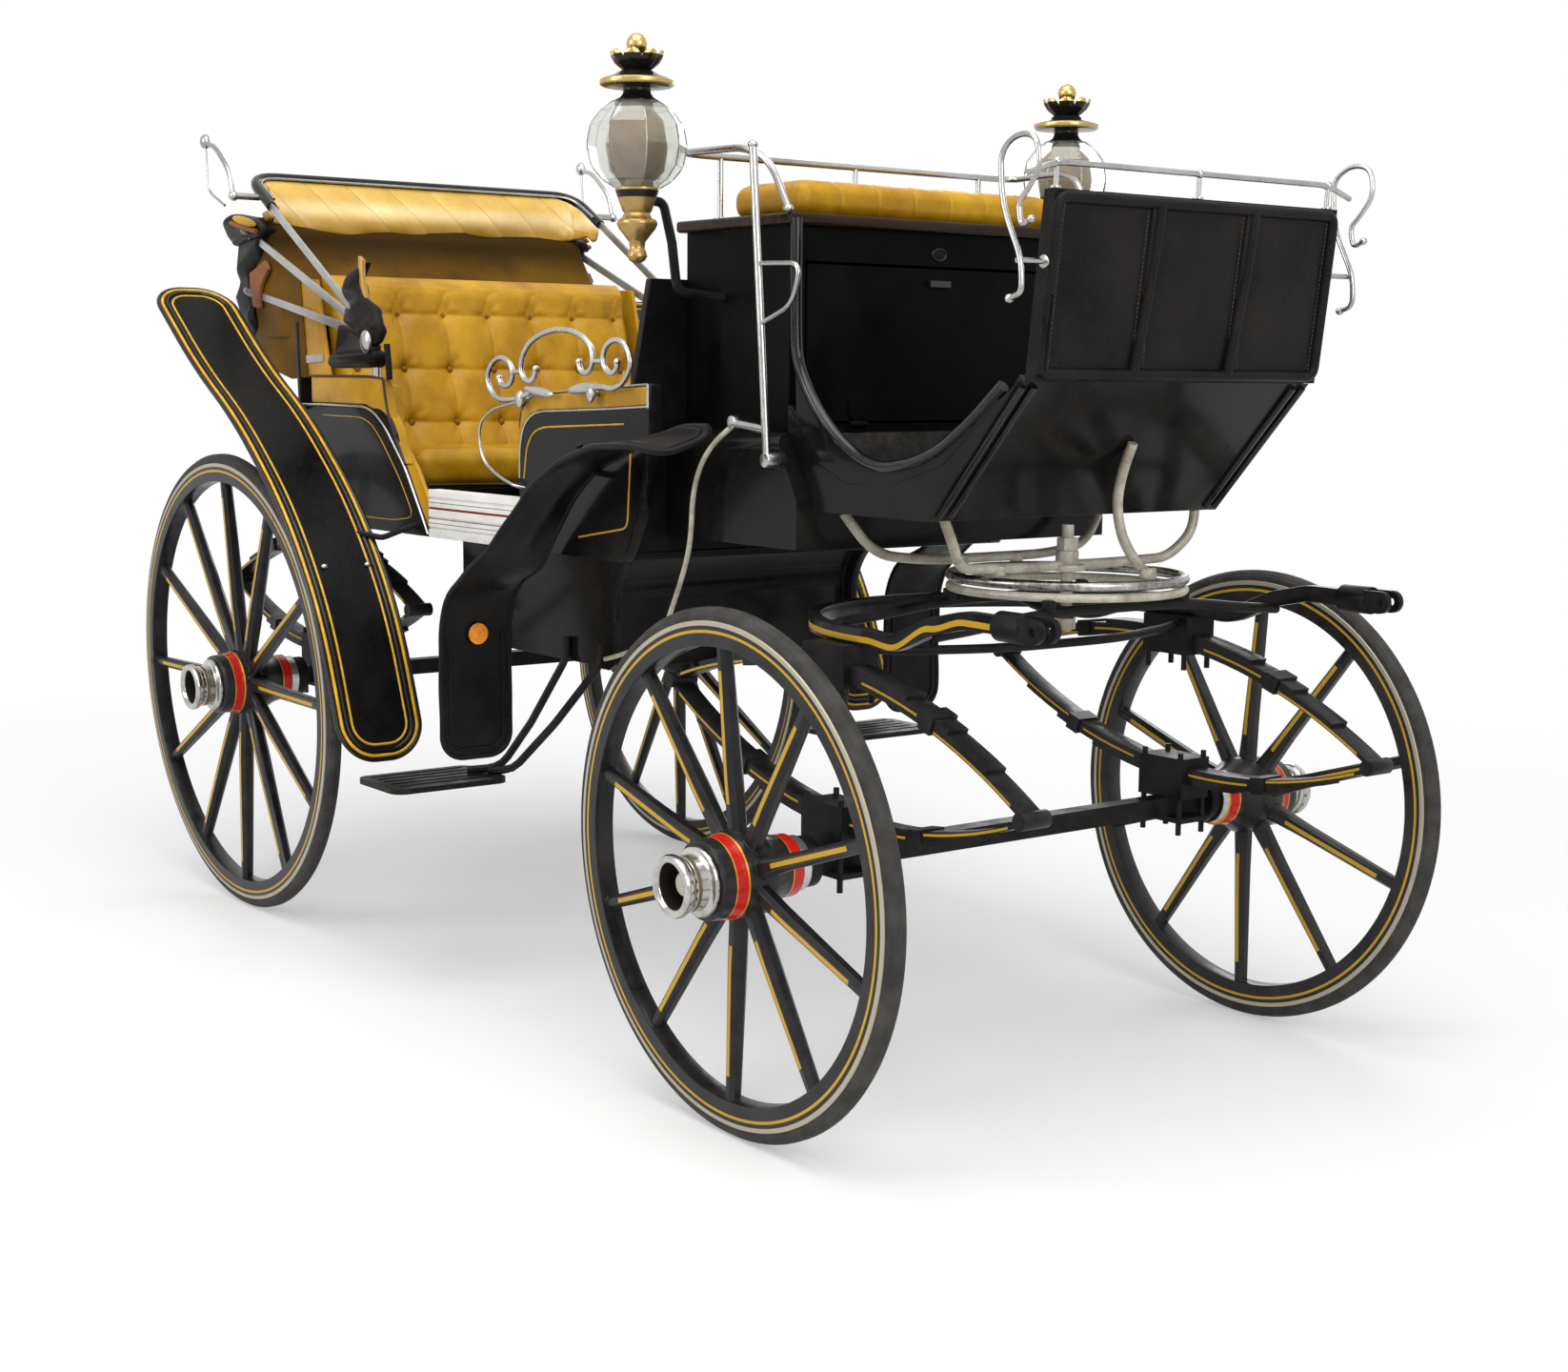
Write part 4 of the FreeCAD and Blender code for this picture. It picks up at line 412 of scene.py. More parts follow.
def plate(outline, thick, ease, y):
    """An upright plate cut to an outline of (x, z) points, with eased edges, its middle at y."""
    cut = line_through(outline, closed=True, flat=True)
    cut.data.fill_mode = "BOTH"
    cut.data.extrude, cut.data.offset = thick / 2 - ease, -ease
    cut.data.bevel_depth, cut.data.bevel_resolution = ease, 3
    bpy.ops.object.convert(target="MESH")
    cut = closed_up(bpy.context.object)
    cut.rotation_euler = ACROSS
    cut.location = (0, y, 0)
    return cut


# A broad glossy moulding is bent round each scooped opening, and a rubber mat hangs in front of the seat box.
gold_line = new_finish("gold_lining", (0.42, 0.22, 0.02), (0.62, 0.36, 0.05), (0.3, 0.45), patch=60, relief=0.00002,
    metal=0.35)
gloss_black = new_finish("gloss_moulding", (0.003, 0.003, 0.003), (0.012, 0.011, 0.01), (0.1, 0.22), patch=8,
    grain=300, relief=0.00004, coat=0.45, gleam=0.12)
scoop = mm((826, 1345), (873.5, 1271.3), (936.1, 1212.8), (1013.4, 1169.5), (1080.1, 1155.3), (1169.7, 1170.2),
    (1231.3, 1193.3), (1314.1, 1246.4), (1382.1, 1301.8))
for side, sign in SIDES:
    lip = plate(scoop + mm((1370, 1270), (1240, 1165), (1100, 1125), (980, 1125), (900, 1155), (829, 1230)), 0.0182,
        0.003, sign * 0.352)
    finished(f"boot_scoop_{side}", [lip], varnish)
    edge = bar(side_view(sign * 0.357, [(0.822, 1.6), (0.823, 1.42)] + scoop), 0.0115, 0.09, sides=4)
    finished(f"boot_moulding_{side}", [edge], gloss_black)
mat_rubber = new_finish("ribbed_mat", (0.016, 0.015, 0.013), (0.06, 0.056, 0.05), (0.7, 0.9), patch=30, grain=160,
    relief=0.0012)
bpy.ops.mesh.primitive_cube_add(size=1, location=(0.8072, -0.11, 1.149), scale=(0.005, 0.36, 0.122))
bpy.ops.object.transform_apply()
mat = shaped(bpy.context.object, "BEVEL", width=0.0015, segments=2, limit_method="ANGLE")
finished("boot_mat", [mat], mat_rubber)

# ------------ seat box and its flap
# The coachman's seat stands on a plain box.  Its front is a drop flap on two strap hinges, held by a
# turned latch, with a finger slot above it that is bushed in worn plate.
matt_black = new_finish("satin_black_paint", (0.001, 0.001, 0.001), (0.005, 0.0048, 0.0045), (0.35, 0.55), patch=6,
    grain=300, relief=0.00015, gleam=0.04)
lay(matt_black, mask(matt_black, ("x", 0.81, 0.005), ("z", 1.492, 0.008)), (0.06, 0.06, 0.058), 0.35, 0.9)
dress(matt_black, "seat_box", "seat_box_flap", ease=0.0025)
finished("finger_slot_rim", [bar([(0.8052, 0.017 * cos(k * pi / 12), 1.5475 + 0.011 * sin(k * pi / 12))
    for k in range(24)], 0.0022, 0, closed=True)], gloss_black)
# Painted shade: the finger slot's opening is a near-black disc that stands for the shade in the hole behind it.
slot_shade = new_finish("painted_slot_shade", (0.001, 0.001, 0.001), (0.004, 0.004, 0.004), (0.6, 0.9), patch=30)
slot = disc((0.805, 0, 1.5475), 0.0165, 0.002, turn=AHEAD)
slot.scale = (0.62, 1, 1)
finished("finger_slot", [slot], slot_shade)

# ------------ coachman's seat
# A varnished elm board, a stuffed cushion of creased yellow hide on it, and a round plated rail that
# is open at the front and stands on three posts and its own two ends.
wood = new_finish("varnished_elm", (0.008, 0.004, 0.002), (0.032, 0.015, 0.008), (0.2, 0.38), patch=6, grain=40,
    relief=0.0002, coat=0.15, gleam=0.1, stretch=(0.12, 2.6, 0.12))
dress(wood, "driver_seat_board", ease=0.006)


def hide(name, dark, light, grain=230.0, relief=0.00035, rough=(0.36, 0.56), gleam=0.16):
    """Leather: pores and fine creases in the grain, darker where it is rubbed and soiled."""
    made = new_finish(name, dark, light, rough, patch=6.5, grain=520, relief=relief * 0.4, coat=gleam * 0.3,
        gleam=gleam)
    stuff = made["stuff"]
    cells = node(stuff, "TexVoronoi", {"Vector": made["place"], "Scale": grain},
        feature="DISTANCE_TO_EDGE").outputs["Distance"]
    pores = ramp(stuff, cells, 0, 0.12, kind="LINEAR")
    folds = node(stuff, "TexNoise", {"Vector": made["place"], "Scale": 28.0, "Detail": 5.0,
        "Distortion": 1.2}).outputs["Fac"]
    height = calc(stuff, "ADD", calc(stuff, "MULTIPLY", pores, 0.5), calc(stuff, "MULTIPLY", folds, 3.0))
    shader = made["shader"]
    bump = node(stuff, "Bump", {"Height": height, "Distance": relief, "Strength": 0.7,
        "Normal": shader.inputs["Normal"].links[0].from_socket})
    stuff.node_tree.links.new(bump.outputs[0], shader.inputs["Normal"])
    return made


yellow_hide = hide("yellow_hide", (0.31, 0.145, 0.004), (0.55, 0.3, 0.014), rough=(0.26, 0.46))
black_hide = hide("black_hide", (0.003, 0.003, 0.003), (0.013, 0.0115, 0.0105), grain=150, relief=0.0006,
    rough=(0.26, 0.48), gleam=0.08)
piping = hide("dark_piping", (0.02, 0.012, 0.008), (0.07, 0.038, 0.016))


def stuffed(piece, cell, cap):
    """Swell a closed form as cloth round its stuffing, each point by no more than the cap."""
    bpy.ops.object.select_all(action="DESELECT")
    piece.select_set(True)
    bpy.context.view_layer.objects.active = piece
    bpy.ops.object.transform_apply()
    shaped(piece, "REMESH", mode="VOXEL", voxel_size=cell)
    before = [point.co.copy() for point in piece.data.vertices]
    cloth = piece.modifiers.new("cover", "CLOTH")
    cloth.settings.use_pressure = True
    cloth.settings.uniform_pressure_force = 4
    cloth.settings.effector_weights.gravity = 0
    cloth.settings.quality = 4
    for frame_now in range(1, 21):
        bpy.context.scene.frame_set(frame_now)
    bpy.ops.object.modifier_apply(modifier="cover")
    bpy.context.scene.frame_set(1)
    for point, was in zip(piece.data.vertices, before):
        moved = point.co - was
        if moved.length > cap:
            point.co = was + moved * (cap / moved.length)
    return shaped(piece, "SUBSURF", levels=1, render_levels=1)


def cushion(low, high, ease, cell, cap):
    """A box cushion inside the given corners, its edges eased before it is stuffed."""
    bpy.ops.mesh.primitive_cube_add(size=1, location=[(a + b) / 2 for a, b in zip(low, high)],
        scale=[b - a for a, b in zip(low, high)])
    block = bpy.context.object
    bpy.ops.object.transform_apply()
    bpy.ops.object.mode_set(mode="EDIT")
    bpy.ops.mesh.select_all(action="SELECT")
    bpy.ops.mesh.bevel(offset=ease, segments=5)
    bpy.ops.object.mode_set(mode="OBJECT")
    return stuffed(block, cell, cap)


def creased(piece, creases):
    """Press creases into a stuffed piece: each is an axis, a place, a width and a depth towards its middle."""
    middle = sum((point.co for point in piece.data.vertices), Vector()) / len(piece.data.vertices)
    for axis, place, width, depth in creases:
        for point in piece.data.vertices:
            near = exp(-((point.co[axis] - place) / width) ** 2)
            if near > 0.01:
                pull = middle - point.co
                pull[axis] = 0
                point.co += pull.normalized() * (depth * near)
    return piece


pad = cushion((0.5605, -0.322, 1.6112), (0.7925, 0.322, 1.6705), 0.022, 0.006, 0.0055)
creased(pad, [(1, y / 1000, 0.0035, 0.0035) for y in (-225, -135, -45, 45, 135, 225)])
cover = finished("driver_cushion_cover", [pad], yellow_hide, smooth=60)
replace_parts(cover, "driver_cushion")
half_rail = mm((816.5, 372, 1616), (788.5, 392, 1700), (726.5, 404, 1729), (556.5, 424, 1729), (544.5, 380, 1729))
rail = [bar(whole(half_rail), 0.0068, 0.045)]
for y in (-0.33, 0, 0.33):
    rail.append(bar([(0.5445, y, 1.61), (0.5445, y, 1.729)], 0.0055, 0))
    rail.append(disc((0.5445, y, 1.6125), 0.0115, 0.005))
for sign in (-1, 1):
    rail.append(ball((0.8165, sign * 0.372, 1.616), 0.0105, (1, 1, 0.75)))
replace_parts(finished("driver_seat_rail_bar", rail, silver), "driver_seat_rail")

# ------------ dash
# The dash is patent leather sewn over a flat iron frame, in three panels between two raised ribs,
# with a padded welt round its border.
dress(black_hide, "dash", ease=0.005)
DASH_LEAN, DASH_THICK, STITCHES, STITCH_GAP = 0.036 / 0.304, 0.024, 36, 0.0074


def on_dash(y, z, proud):
    """A place on the dash's front face, a little proud of it."""
    return (1.4195 + (z - 1.31) * DASH_LEAN + DASH_THICK + proud, y, z)


DASH_PANELS = mm((-322, -127), (-104, 104), (127, 322))
welt = [bar([on_dash(y, z, 0.0005) for y, z in mm((-335, 1322), (-335, 1602), (335, 1602), (335, 1322), (-335, 1322),
    (-335, 1450))], 0.0105, 0.02)]
for y in (-0.115, 0.115):
    bow = [on_dash(y - 0.01 + 0.022 * sin(0.5 * pi * k / 8), 1.322 + 0.281 * k / 8, 0.001) for k in range(9)]
    welt.append(bar(bow, 0.0115, 0, sides=4))
finished("dash_welt", welt, black_hide)


def grid(across, down, place):
    """A sheet of small faces: place(u, v) gives each point, with u and v from 0 to 1."""
    bpy.ops.mesh.primitive_grid_add(x_subdivisions=across, y_subdivisions=down, size=1)
    made = bpy.context.object
    for point in made.data.vertices:
        point.co = place(point.co.x + 0.5, point.co.y + 0.5)
    return made


def padded_panel(low, high):
    """A panel of the dash, a little crowned."""
    def place(u, v):
        rise = 0.0065 * (max(0.0, sin(pi * u) * sin(pi * v))) ** 0.45 - 0.001
        return on_dash(low + (high - low) * u, 1.331 + 0.263 * v, rise)
    return grid(24, 24, place)


finished("dash_panels", [padded_panel(*span) for span in DASH_PANELS], black_hide, smooth=60)
thread = new_finish("waxed_thread", (0.05, 0.045, 0.035), (0.11, 0.1, 0.08), (0.5, 0.7), patch=80, relief=0.00002)
bpy.ops.mesh.primitive_cube_add(size=1, scale=(0.0012, 0.0009, 0.0048))
stitch = bpy.context.object
stitches = []
for low, high in DASH_PANELS:
    for y in (low + 0.002, high - 0.002):
        for k in range(STITCHES):
            made = stitch.copy()
            made.data = stitch.data.copy()
            bpy.context.collection.objects.link(made)
            made.location = on_dash(y, 1.336 + k * STITCH_GAP, 0.0008)
            stitches.append(made)
bpy.data.objects.remove(stitch)
finished("dash_stitches", stitches, thread)

rims = []
for sign in (-1, 1):
    for out in (0.345, 0.319):
        rims.append(bar(side_view(sign * out, [(1.415, 1.302), (1.2145, 1.079)]), 0.0075, 0))
finished("toe_board_rims", rims, gloss_black)

# ------------ dash rail and scrolls
# A plated rail runs along the dash's top on three posts.  At each end a scroll of round bar, forged
# in one length and plated, gives the coachman a hand hold and keeps the reins in.
rail = [bar(whole([(1.4663, 0.392, 1.636), (1.4685, 0.33, 1.656)]), 0.0053, 0.05)]
for y in (-0.33, 0, 0.33):
    rail.append(bar([(1.4655, y, 1.612), (1.4675, y, 1.654)], 0.0042, 0))
    rail.append(ball((1.4685, y, 1.656), 0.0075))
    rail.append(disc((1.4655, y, 1.6165), 0.009, 0.005))
for sign in (-1, 1):
    y = sign * 0.405
    rail.append(bar(side_view(y, mm((1444.5, 1440), (1472.5, 1448), (1470.5, 1500), (1422.5, 1590), (1418.5, 1672),
        (1454.5, 1696), (1500.5, 1690), (1508.5, 1640), (1480.5, 1606), (1460.5, 1588), (1468.5, 1552),
        (1490.5, 1562))), 0.0048, 0.06))
    rail += [ball((1.4445, y, 1.44), 0.0075), ball((1.4905, y, 1.562), 0.0068),
        bar([(1.4605, y, 1.5), (1.4605, sign * 0.344, 1.5)], 0.0048, 0),
        disc((1.4605, sign * 0.346, 1.5), 0.011, 0.004, turn=ACROSS)]
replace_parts(finished("dash_rail_bars", rail, silver), "dash_rail")

# ------------ well, sills and quarter panels
# The body is panelled in thin ash bent to the frame and varnished black.  A half round plated bead
# covers each panel's top edge, and a yellow and a gold line follow it inside.  Ribbed sill plates
# of white metal, fixed with dark pins, take the wear in the door openings.
soften(0.004, "well")
sill_metal = new_finish("sill_metal", (0.62, 0.605, 0.57), (0.84, 0.825, 0.79), (0.22, 0.42), patch=4, grain=60,
    relief=0.00002, metal=0.1, stretch=(4, 1, 1))
for z in (0.961, 1.011, 1.046):
    for x in (-0.305, -0.135, 0.036):
        lay(sill_metal, mask(sill_metal, ("x", x, 0.0045), ("z", z, 0.0045)), (0.03, 0.03, 0.03), 0.5)
for z in (0.9835, 0.9935, 1.0295):
    lay(sill_metal, mask(sill_metal, ("z", z, 0.0008)), (0.1, 0.095, 0.09), 0.5)
lay(sill_metal, mask(sill_metal, ("z", 1.0165, 0.0024)), (0.22, 0.012, 0.012), 0.5)
dress(sill_metal, "sill_plates", ease=0.0012)

dress(varnish, "front_quarter_panels")
edged = new_finish("edged_varnish", **VARNISH)
lay(edged, mask(edged, ("y", 0, 0.4915), ("x", -0.59, 0.36)), (0.42, 0.215, 0.008), 0.42)
dress(edged, "rear_quarter_panels")
soften(0.005, "front_quarter_panels", "rear_quarter_panels")
front_bead = mm((68.5, 1100), (70, 1162), (84, 1205), (112, 1229), (152.5, 1239), (277.5, 1243), (405.5, 1248),
    (549, 1255))
rear_bead = mm((-1054, 1234), (-887.5, 1237), (-641.5, 1235), (-592, 1222), (-540.5, 1191), (-443.5, 1100),
    (-358, 985), (-339, 957))
yellow_line = new_finish("yellow_lining", (0.46, 0.235, 0.016), (0.62, 0.34, 0.028), (0.32, 0.46), patch=40,
    relief=0.00002)
for side, sign in SIDES:
    y = sign * 0.5
    beads = [bar(side_view(y, bead), 0.0028, 0.03) for bead in (front_bead, rear_bead)]
    beads.append(bar(side_view(y, ((0.5495, 1.252), (0.5495, 1.297))), 0.0034, 0))
    beads.append(bar(side_view(y, mm((549.5, 1297), (137, 1274.5), (102, 1263))), 0.002, 0.02))
    finished(f"panel_beads_{side}", beads, silver)
    lines = [bar(side_view(y, mm((86, 1100), (98, 1165), (125, 1197), (166, 1207), (467, 1219.9))), 0.0021, 0.03),
        bar(side_view(y, ((0.49, 1.17), (0.478, 1.02), (0.3, 0.992))), 0.0021, 0.02)]
    finished(f"panel_lines_{side}", lines, yellow_line)
    fine = [bar(side_view(y, mm((-865, 1212), (-660, 1210), (-610, 1197), (-562, 1163), (-470, 1075), (-405, 992),
        (-500, 980), (-860, 980))), 0.0011, 0.03)]
    finished(f"panel_gold_{side}", fine, gold_line)
    strip = plate([(x, z + 0.003) for x, z in front_bead[1:]] + mm((549, 1293), (137, 1271), (108, 1261), (82, 1240),
        (69, 1200)), 0.006, 0.0025, sign * 0.4995)
    finished(f"front_quarter_hide_{side}", [strip], yellow_hide, smooth=50)

# ------------ passengers' seat
# A deep sprung cushion and a back in yellow hide.  The back is quilted in squares, drawn down to
# covered buttons, and its pleats run over the top roll.  The arms are stuffed roundly and piped.
BACK_HALF, BACK_FOOT, BACK_CROWN, BACK_ROLL = 0.428, 1.06, 1.542, 0.042
BUTTON_GAP, BUTTON_ROWS = 0.127, (1.19, 1.32, 1.456)
BUTTON_COLUMNS = [k * BUTTON_GAP for k in range(-3, 4)]


def back_face(z):
    """Where the sloping face of the seat back is, before it is quilted."""
    return -0.8405 - 0.2813 * (z - 1.166)


def quilted(u, v):
    """A place on the seat back: puffed between its pleats, drawn in at its buttons, rolled at its edges."""
    y, z = (u - 0.5) * 2 * BACK_HALF, BACK_FOOT + v * (BACK_CROWN - BACK_FOOT)
    beside = min(abs(y - column) for column in BUTTON_COLUMNS)
    above = min(abs(z - row) for row in BUTTON_ROWS)
    share = min(1.0, beside / (BUTTON_GAP / 2))
    puff = 0.0065 * (1 - (1 - share) ** 2) + 0.0045 * (1 - (1 - min(1.0, above / 0.065)) ** 2)
    strength = 1.0 if z > BUTTON_ROWS[-1] else 0.55
    seam = -0.0055 * strength * exp(-beside / 0.0035) - 0.0022 * exp(-above / 0.005)
    spot = hypot(beside, above)
    dimple = -0.019 * exp(-(spot / 0.018) ** 1.4)
    star = 0.5 + 0.5 * cos(6 * atan2(above, beside + 1e-6))
    spokes = -0.0022 * exp(-((spot - 0.028) / 0.018) ** 2) * star
    edge = min(BACK_HALF - abs(y), BACK_CROWN - z)
    rolled = BACK_ROLL * (1 - sqrt(max(0.0, 1 - (1 - edge / BACK_ROLL) ** 2))) if edge < BACK_ROLL else 0.0
    depth = -0.022 + (puff + dimple + seam + spokes) * min(1.0, max(0.0, edge) / 0.03) - rolled
    return back_face(z) + depth, y, z - depth * 0.12


back = closed_up(shaped(grid(230, 150, quilted), "SOLIDIFY", thickness=0.012, offset=-1))
back = finished("seat_back_quilt", [back], yellow_hide, smooth=60)
bulk = cushion((-1.0, -0.424, 1.052), (-0.895, 0.424, 1.3), 0.02, 0.008, 0.002)
bulk_top = cushion((-1.0, -0.424, 1.25), (-0.955, 0.424, 1.532), 0.018, 0.008, 0.002)
stuffing = finished("seat_back_stuffing", [bulk, bulk_top], yellow_hide, smooth=60)
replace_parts(back, "seat_back")
studs = [ball((back_face(z) - 0.0345, y, z + 0.002), 0.0088, (0.62, 1, 1))
    for z in BUTTON_ROWS for y in BUTTON_COLUMNS]
# Painted shade: the covered buttons get a darker tone of the yellow hide for the shade of the dimples they sit in.
shaded_button_hide = hide("shaded_button_hide", (0.15, 0.065, 0.003), (0.3, 0.145, 0.006))
finished("seat_back_buttons", studs, shaded_button_hide, smooth=60)

seat = cushion((-0.832, -0.418, 1.049), (-0.529, 0.418, 1.134), 0.03, 0.007, 0.006)
creased(seat, [(0, -0.575, 0.006, 0.0035)])
seat = finished("seat_cushion_cover", [seat], yellow_hide, smooth=60)
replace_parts(seat, "seat_cushion")
finished("seat_cushion_piping", [bar(whole([(-0.524, 0.4, 1.056), (-0.5215, 0.2, 1.054)]), 0.0035, 0.02)], piping)

ARM = mm((-565, 1052), (-556, 1200), (-575, 1286), (-610, 1296), (-930, 1296), (-905, 1052))
REST = mm((430, 1186), (430, 1300), (200, 1288), (130, 1276), (94, 1215), (94, 1186))
arm_edge = mm((-449, 1108), (-525.5, 1213), (-543, 1262), (-550.5, 1298))
for side, sign in SIDES:
    for name, outline, thick, ease, y in (("arm_pad", ARM, 0.03, 0.01, 0.4505),
            ("front_pad", REST, 0.026, 0.009, 0.453)):
        pad = stuffed(plate(outline, thick, ease, sign * y), 0.006, 0.003)
        pad = finished(f"{name}_{side}", [pad], yellow_hide, smooth=60)
        if pad.name == "arm_pad_left":
            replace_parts(pad, "arm_pads")
    outer = plate([(x, z + 0.002) for x, z in arm_edge] + mm((-600, 1303), (-930, 1303), (-930, 1240),
        (-641.5, 1239), (-592, 1226), (-540.5, 1195)), 0.027, 0.006, sign * 0.4855)
    finished(f"arm_side_{side}", [outer], yellow_hide, smooth=50)
    cord_edge = bar(side_view(sign * 0.498, [(x + 0.001, z) for x, z in arm_edge]), 0.0032, 0.02)
    cord_top = bar(side_view(sign * 0.498, ((-0.552, 1.3), (-0.62, 1.305), (-0.93, 1.305))), 0.0028, 0.02)
    finished(f"arm_piping_{side}", [cord_edge, cord_top], piping)

# ------------ mud wings
# The wings are patent leather stretched and sewn over iron frames.  The rear pair has a rolled edge
# with a ridge inside it and is lined twice in yellow; the front pair sags in soft folds, its front
# end pinched to a beak, and carries round reflectors.


def runs_of(path):
    """The run from a path's start to each of its points."""
    runs = [0.0]
    for a, b in zip(path, path[1:]):
        runs.append(runs[-1] + (b - a).length)
    return runs


def on_path(path, runs, s):
    """The place at a run along a path, and the way the path goes there."""
    j = max(0, min(len(path) - 2, sum(run <= s for run in runs) - 1))
    step = path[j + 1] - path[j]
    return path[j] + step * ((s - runs[j]) / step.length), step


class Wing:
    """A wing as a strip along its side view: a point is given by its run along it and its reach across."""

    def __init__(self, path, bend, top, foot, middle, half, corner, shape=None):
        run, fine = bent(side_view(0, path), bend), []
        for a, b in zip(run, run[1:]):
            fine += [a.lerp(b, k / 8) for k in range(8)]
        self.run = [p for p in fine if foot <= p.z <= top or p.x > path[0][0] + 0.3 and p.z > foot]
        self.lengths = runs_of(self.run)
        self.length, self.middle, self.half, self.corner, self.shape = self.lengths[-1], middle, half, corner, shape

    def at(self, s, across, lift=0.0):
        """The place at a run s and a share across, from -1 to 1 of the half width."""
        p, step = on_path(self.run, self.lengths, s)
        up = Vector((-step.z, 0, step.x)).normalized()
        if up.z < -0.05 or (abs(up.z) <= 0.05 and up.x < 0):
            up = -up
        wide, rise = self.shape(s / self.length, across) if self.shape else (1.0, 0.0)
        return Vector((p.x, self.middle + across * self.half * wide, p.z)) + up * (lift + rise)

    def reach(self, s, inset=0.0):
        """The half width left at a run s, with round corners, an inset in from the edge."""
        end, corner = min(s, self.length - s) - inset, max(0.004, self.corner - inset)
        half = self.half - inset
        return half if end >= corner else half - corner + sqrt(max(0.0, corner ** 2 - (corner - max(0.0, end)) ** 2))

    def runs(self, inset, count=90):
        """Runs from end to end, close together near the rounded ends."""
        span = self.length - 2 * inset
        return [inset + span * (0.5 - 0.5 * cos(pi * k / count)) for k in range(count + 1)]

    def skin(self, thick):
        """The wing's covering, with its thickness."""
        along = self.runs(0.0)

        def place(u, v):
            s = along[round(u * (len(along) - 1))]
            return self.at(s, (2 * v - 1) * self.reach(s) / self.half)

        return closed_up(shaped(grid(len(along) - 1, 16, place), "SOLIDIFY", thickness=thick, offset=0))

    def loop(self, inset, lift, thick, sides=2):
        """A closed line round the wing."""
        runs = self.runs(inset)
        ring = [self.at(s, self.reach(s, inset) / self.half, lift) for s in runs]
        ring += [self.at(s, -self.reach(s, inset) / self.half, lift) for s in reversed(runs)]
        return bar(ring, thick, 0, closed=True, sides=sides)


def front_form(u, across):
    """The front wing narrows and hollows along its slope, and its front end is pinched up."""
    slope = exp(-((u - 0.4) / 0.17) ** 2)
    beak = exp(-(u / 0.13) ** 2)
    wide = 1.0 - 0.2 * slope
    rise = 0.016 * slope * across ** 2 - 0.004 * slope * cos(5 * across) + 0.01 * beak * across ** 2
    rise += 0.007 * sin(26 * u + 2.2 * across) * exp(-((u - 0.62) / 0.1) ** 2) + 0.006 * across * slope
    rise += 0.0012 * sin(31 * u + 3 * across) + 0.001 * sin(57 * u - 5 * across)
    rise += 0.02 * across * exp(-(u / 0.2) ** 2)
    return wide - 0.22 * exp(-(u / 0.05) ** 2), rise


rear_path = [(REAR_X + x, z) for x, z in mm((-262, 1531), (30, 1322), (250, 1205), (500, 1012), (680, 780),
    (780, 520), (790, 470))]
front_path = [(FRONT_X + x, z) for x, z in mm((-235, 1190), (-330, 1202), (-480, 1182), (-650, 1108), (-870, 928),
    (-985, 866), (-1013, 800), (-1014, 484))]
FRONT_WING_Y = 0.595
wing_gloss = hide("wing_gloss", (0.002, 0.002, 0.002), (0.009, 0.008, 0.0075), grain=120, relief=0.0004,
    rough=(0.2, 0.4), gleam=0.08)
wing_paint = new_finish("wing_yellow", (0.5, 0.26, 0.012), (0.68, 0.4, 0.022), (0.22, 0.36), patch=40,
    relief=0.00002, coat=0.3)
for side, sign in SIDES:
    rear = Wing(rear_path, 0.3, 1.516, 0.478, sign * WHEEL_Y, 0.098, 0.082)
    finished(f"rear_wing_lines_{side}", [rear.loop(0.0085, 0.0028, 0.004), rear.loop(0.033, 0.002, 0.0031)],
        wing_paint, smooth=60)
    bolts = [ball(rear.at(rear.length * 0.7, across, 0.006), 0.0085, (0.7, 1, 0.7)) for across in (-0.45, 0.62)]
    finished(f"rear_wing_bolts_{side}", bolts, silver)
    finished(f"rear_wing_edge_{side}", [rear.loop(0.0, 0.0, 0.0052, 3), rear.loop(0.0205, 0.0024, 0.0044, 3)],
        gloss_black, smooth=60)
    covering = finished(f"rear_wing_skin_{side}", [rear.skin(0.006)], wing_gloss, smooth=50)
    form = lambda u, across, out=-sign: front_form(u, across * out)
    front = Wing(front_path, 0.12, 1.3, 0.48, sign * FRONT_WING_Y, 0.08, 0.05, form)
    finished(f"front_wing_roll_{side}", [front.loop(0.0, 0.0, 0.0062, 3), front.loop(0.0175, 0.0022, 0.004, 3)],
        black_hide, smooth=60)
    front_skin = finished(f"front_wing_skin_{side}", [front.skin(0.005)], black_hide, smooth=50)
    if side == "left":
        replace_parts(covering, "rear_wings")
        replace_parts(front_skin, "front_wings")

amber = new_finish("amber_reflector", (0.75, 0.2, 0.005), (0.95, 0.32, 0.01), (0.12, 0.25), patch=90, relief=0.00005,
    coat=0.6)
cells = node(amber["stuff"], "TexVoronoi", {"Vector": amber["place"], "Scale": 330.0}).outputs["Distance"]
facets = node(amber["stuff"], "Bump", {"Height": cells, "Distance": 0.0006, "Strength": 0.8})
amber["stuff"].node_tree.links.new(facets.outputs[0], amber["shader"].inputs["Normal"])
for side, sign in SIDES:
    rim = disc((0.0525, sign * FRONT_WING_Y, 0.779), 0.0245, 0.007, 0.0015, AHEAD)
    finished(f"reflector_rim_{side}", [rim], black_hide)
    lens = disc((0.0545, sign * FRONT_WING_Y, 0.779), 0.0225, 0.007, 0.002, AHEAD)
    finished(f"reflector_{side}", [lens], amber)

# ------------ steps
# A ribbed tread of cast iron hangs on a forked iron from the well on each side.  Boots have rubbed
# the ribs dull.
tread_iron = new_finish("step_iron", (0.005, 0.0045, 0.004), (0.022, 0.02, 0.018), (0.32, 0.58), patch=20, grain=240,
    relief=0.0004, gleam=0.1)
dress(tread_iron, "steps", ease=0.0016)

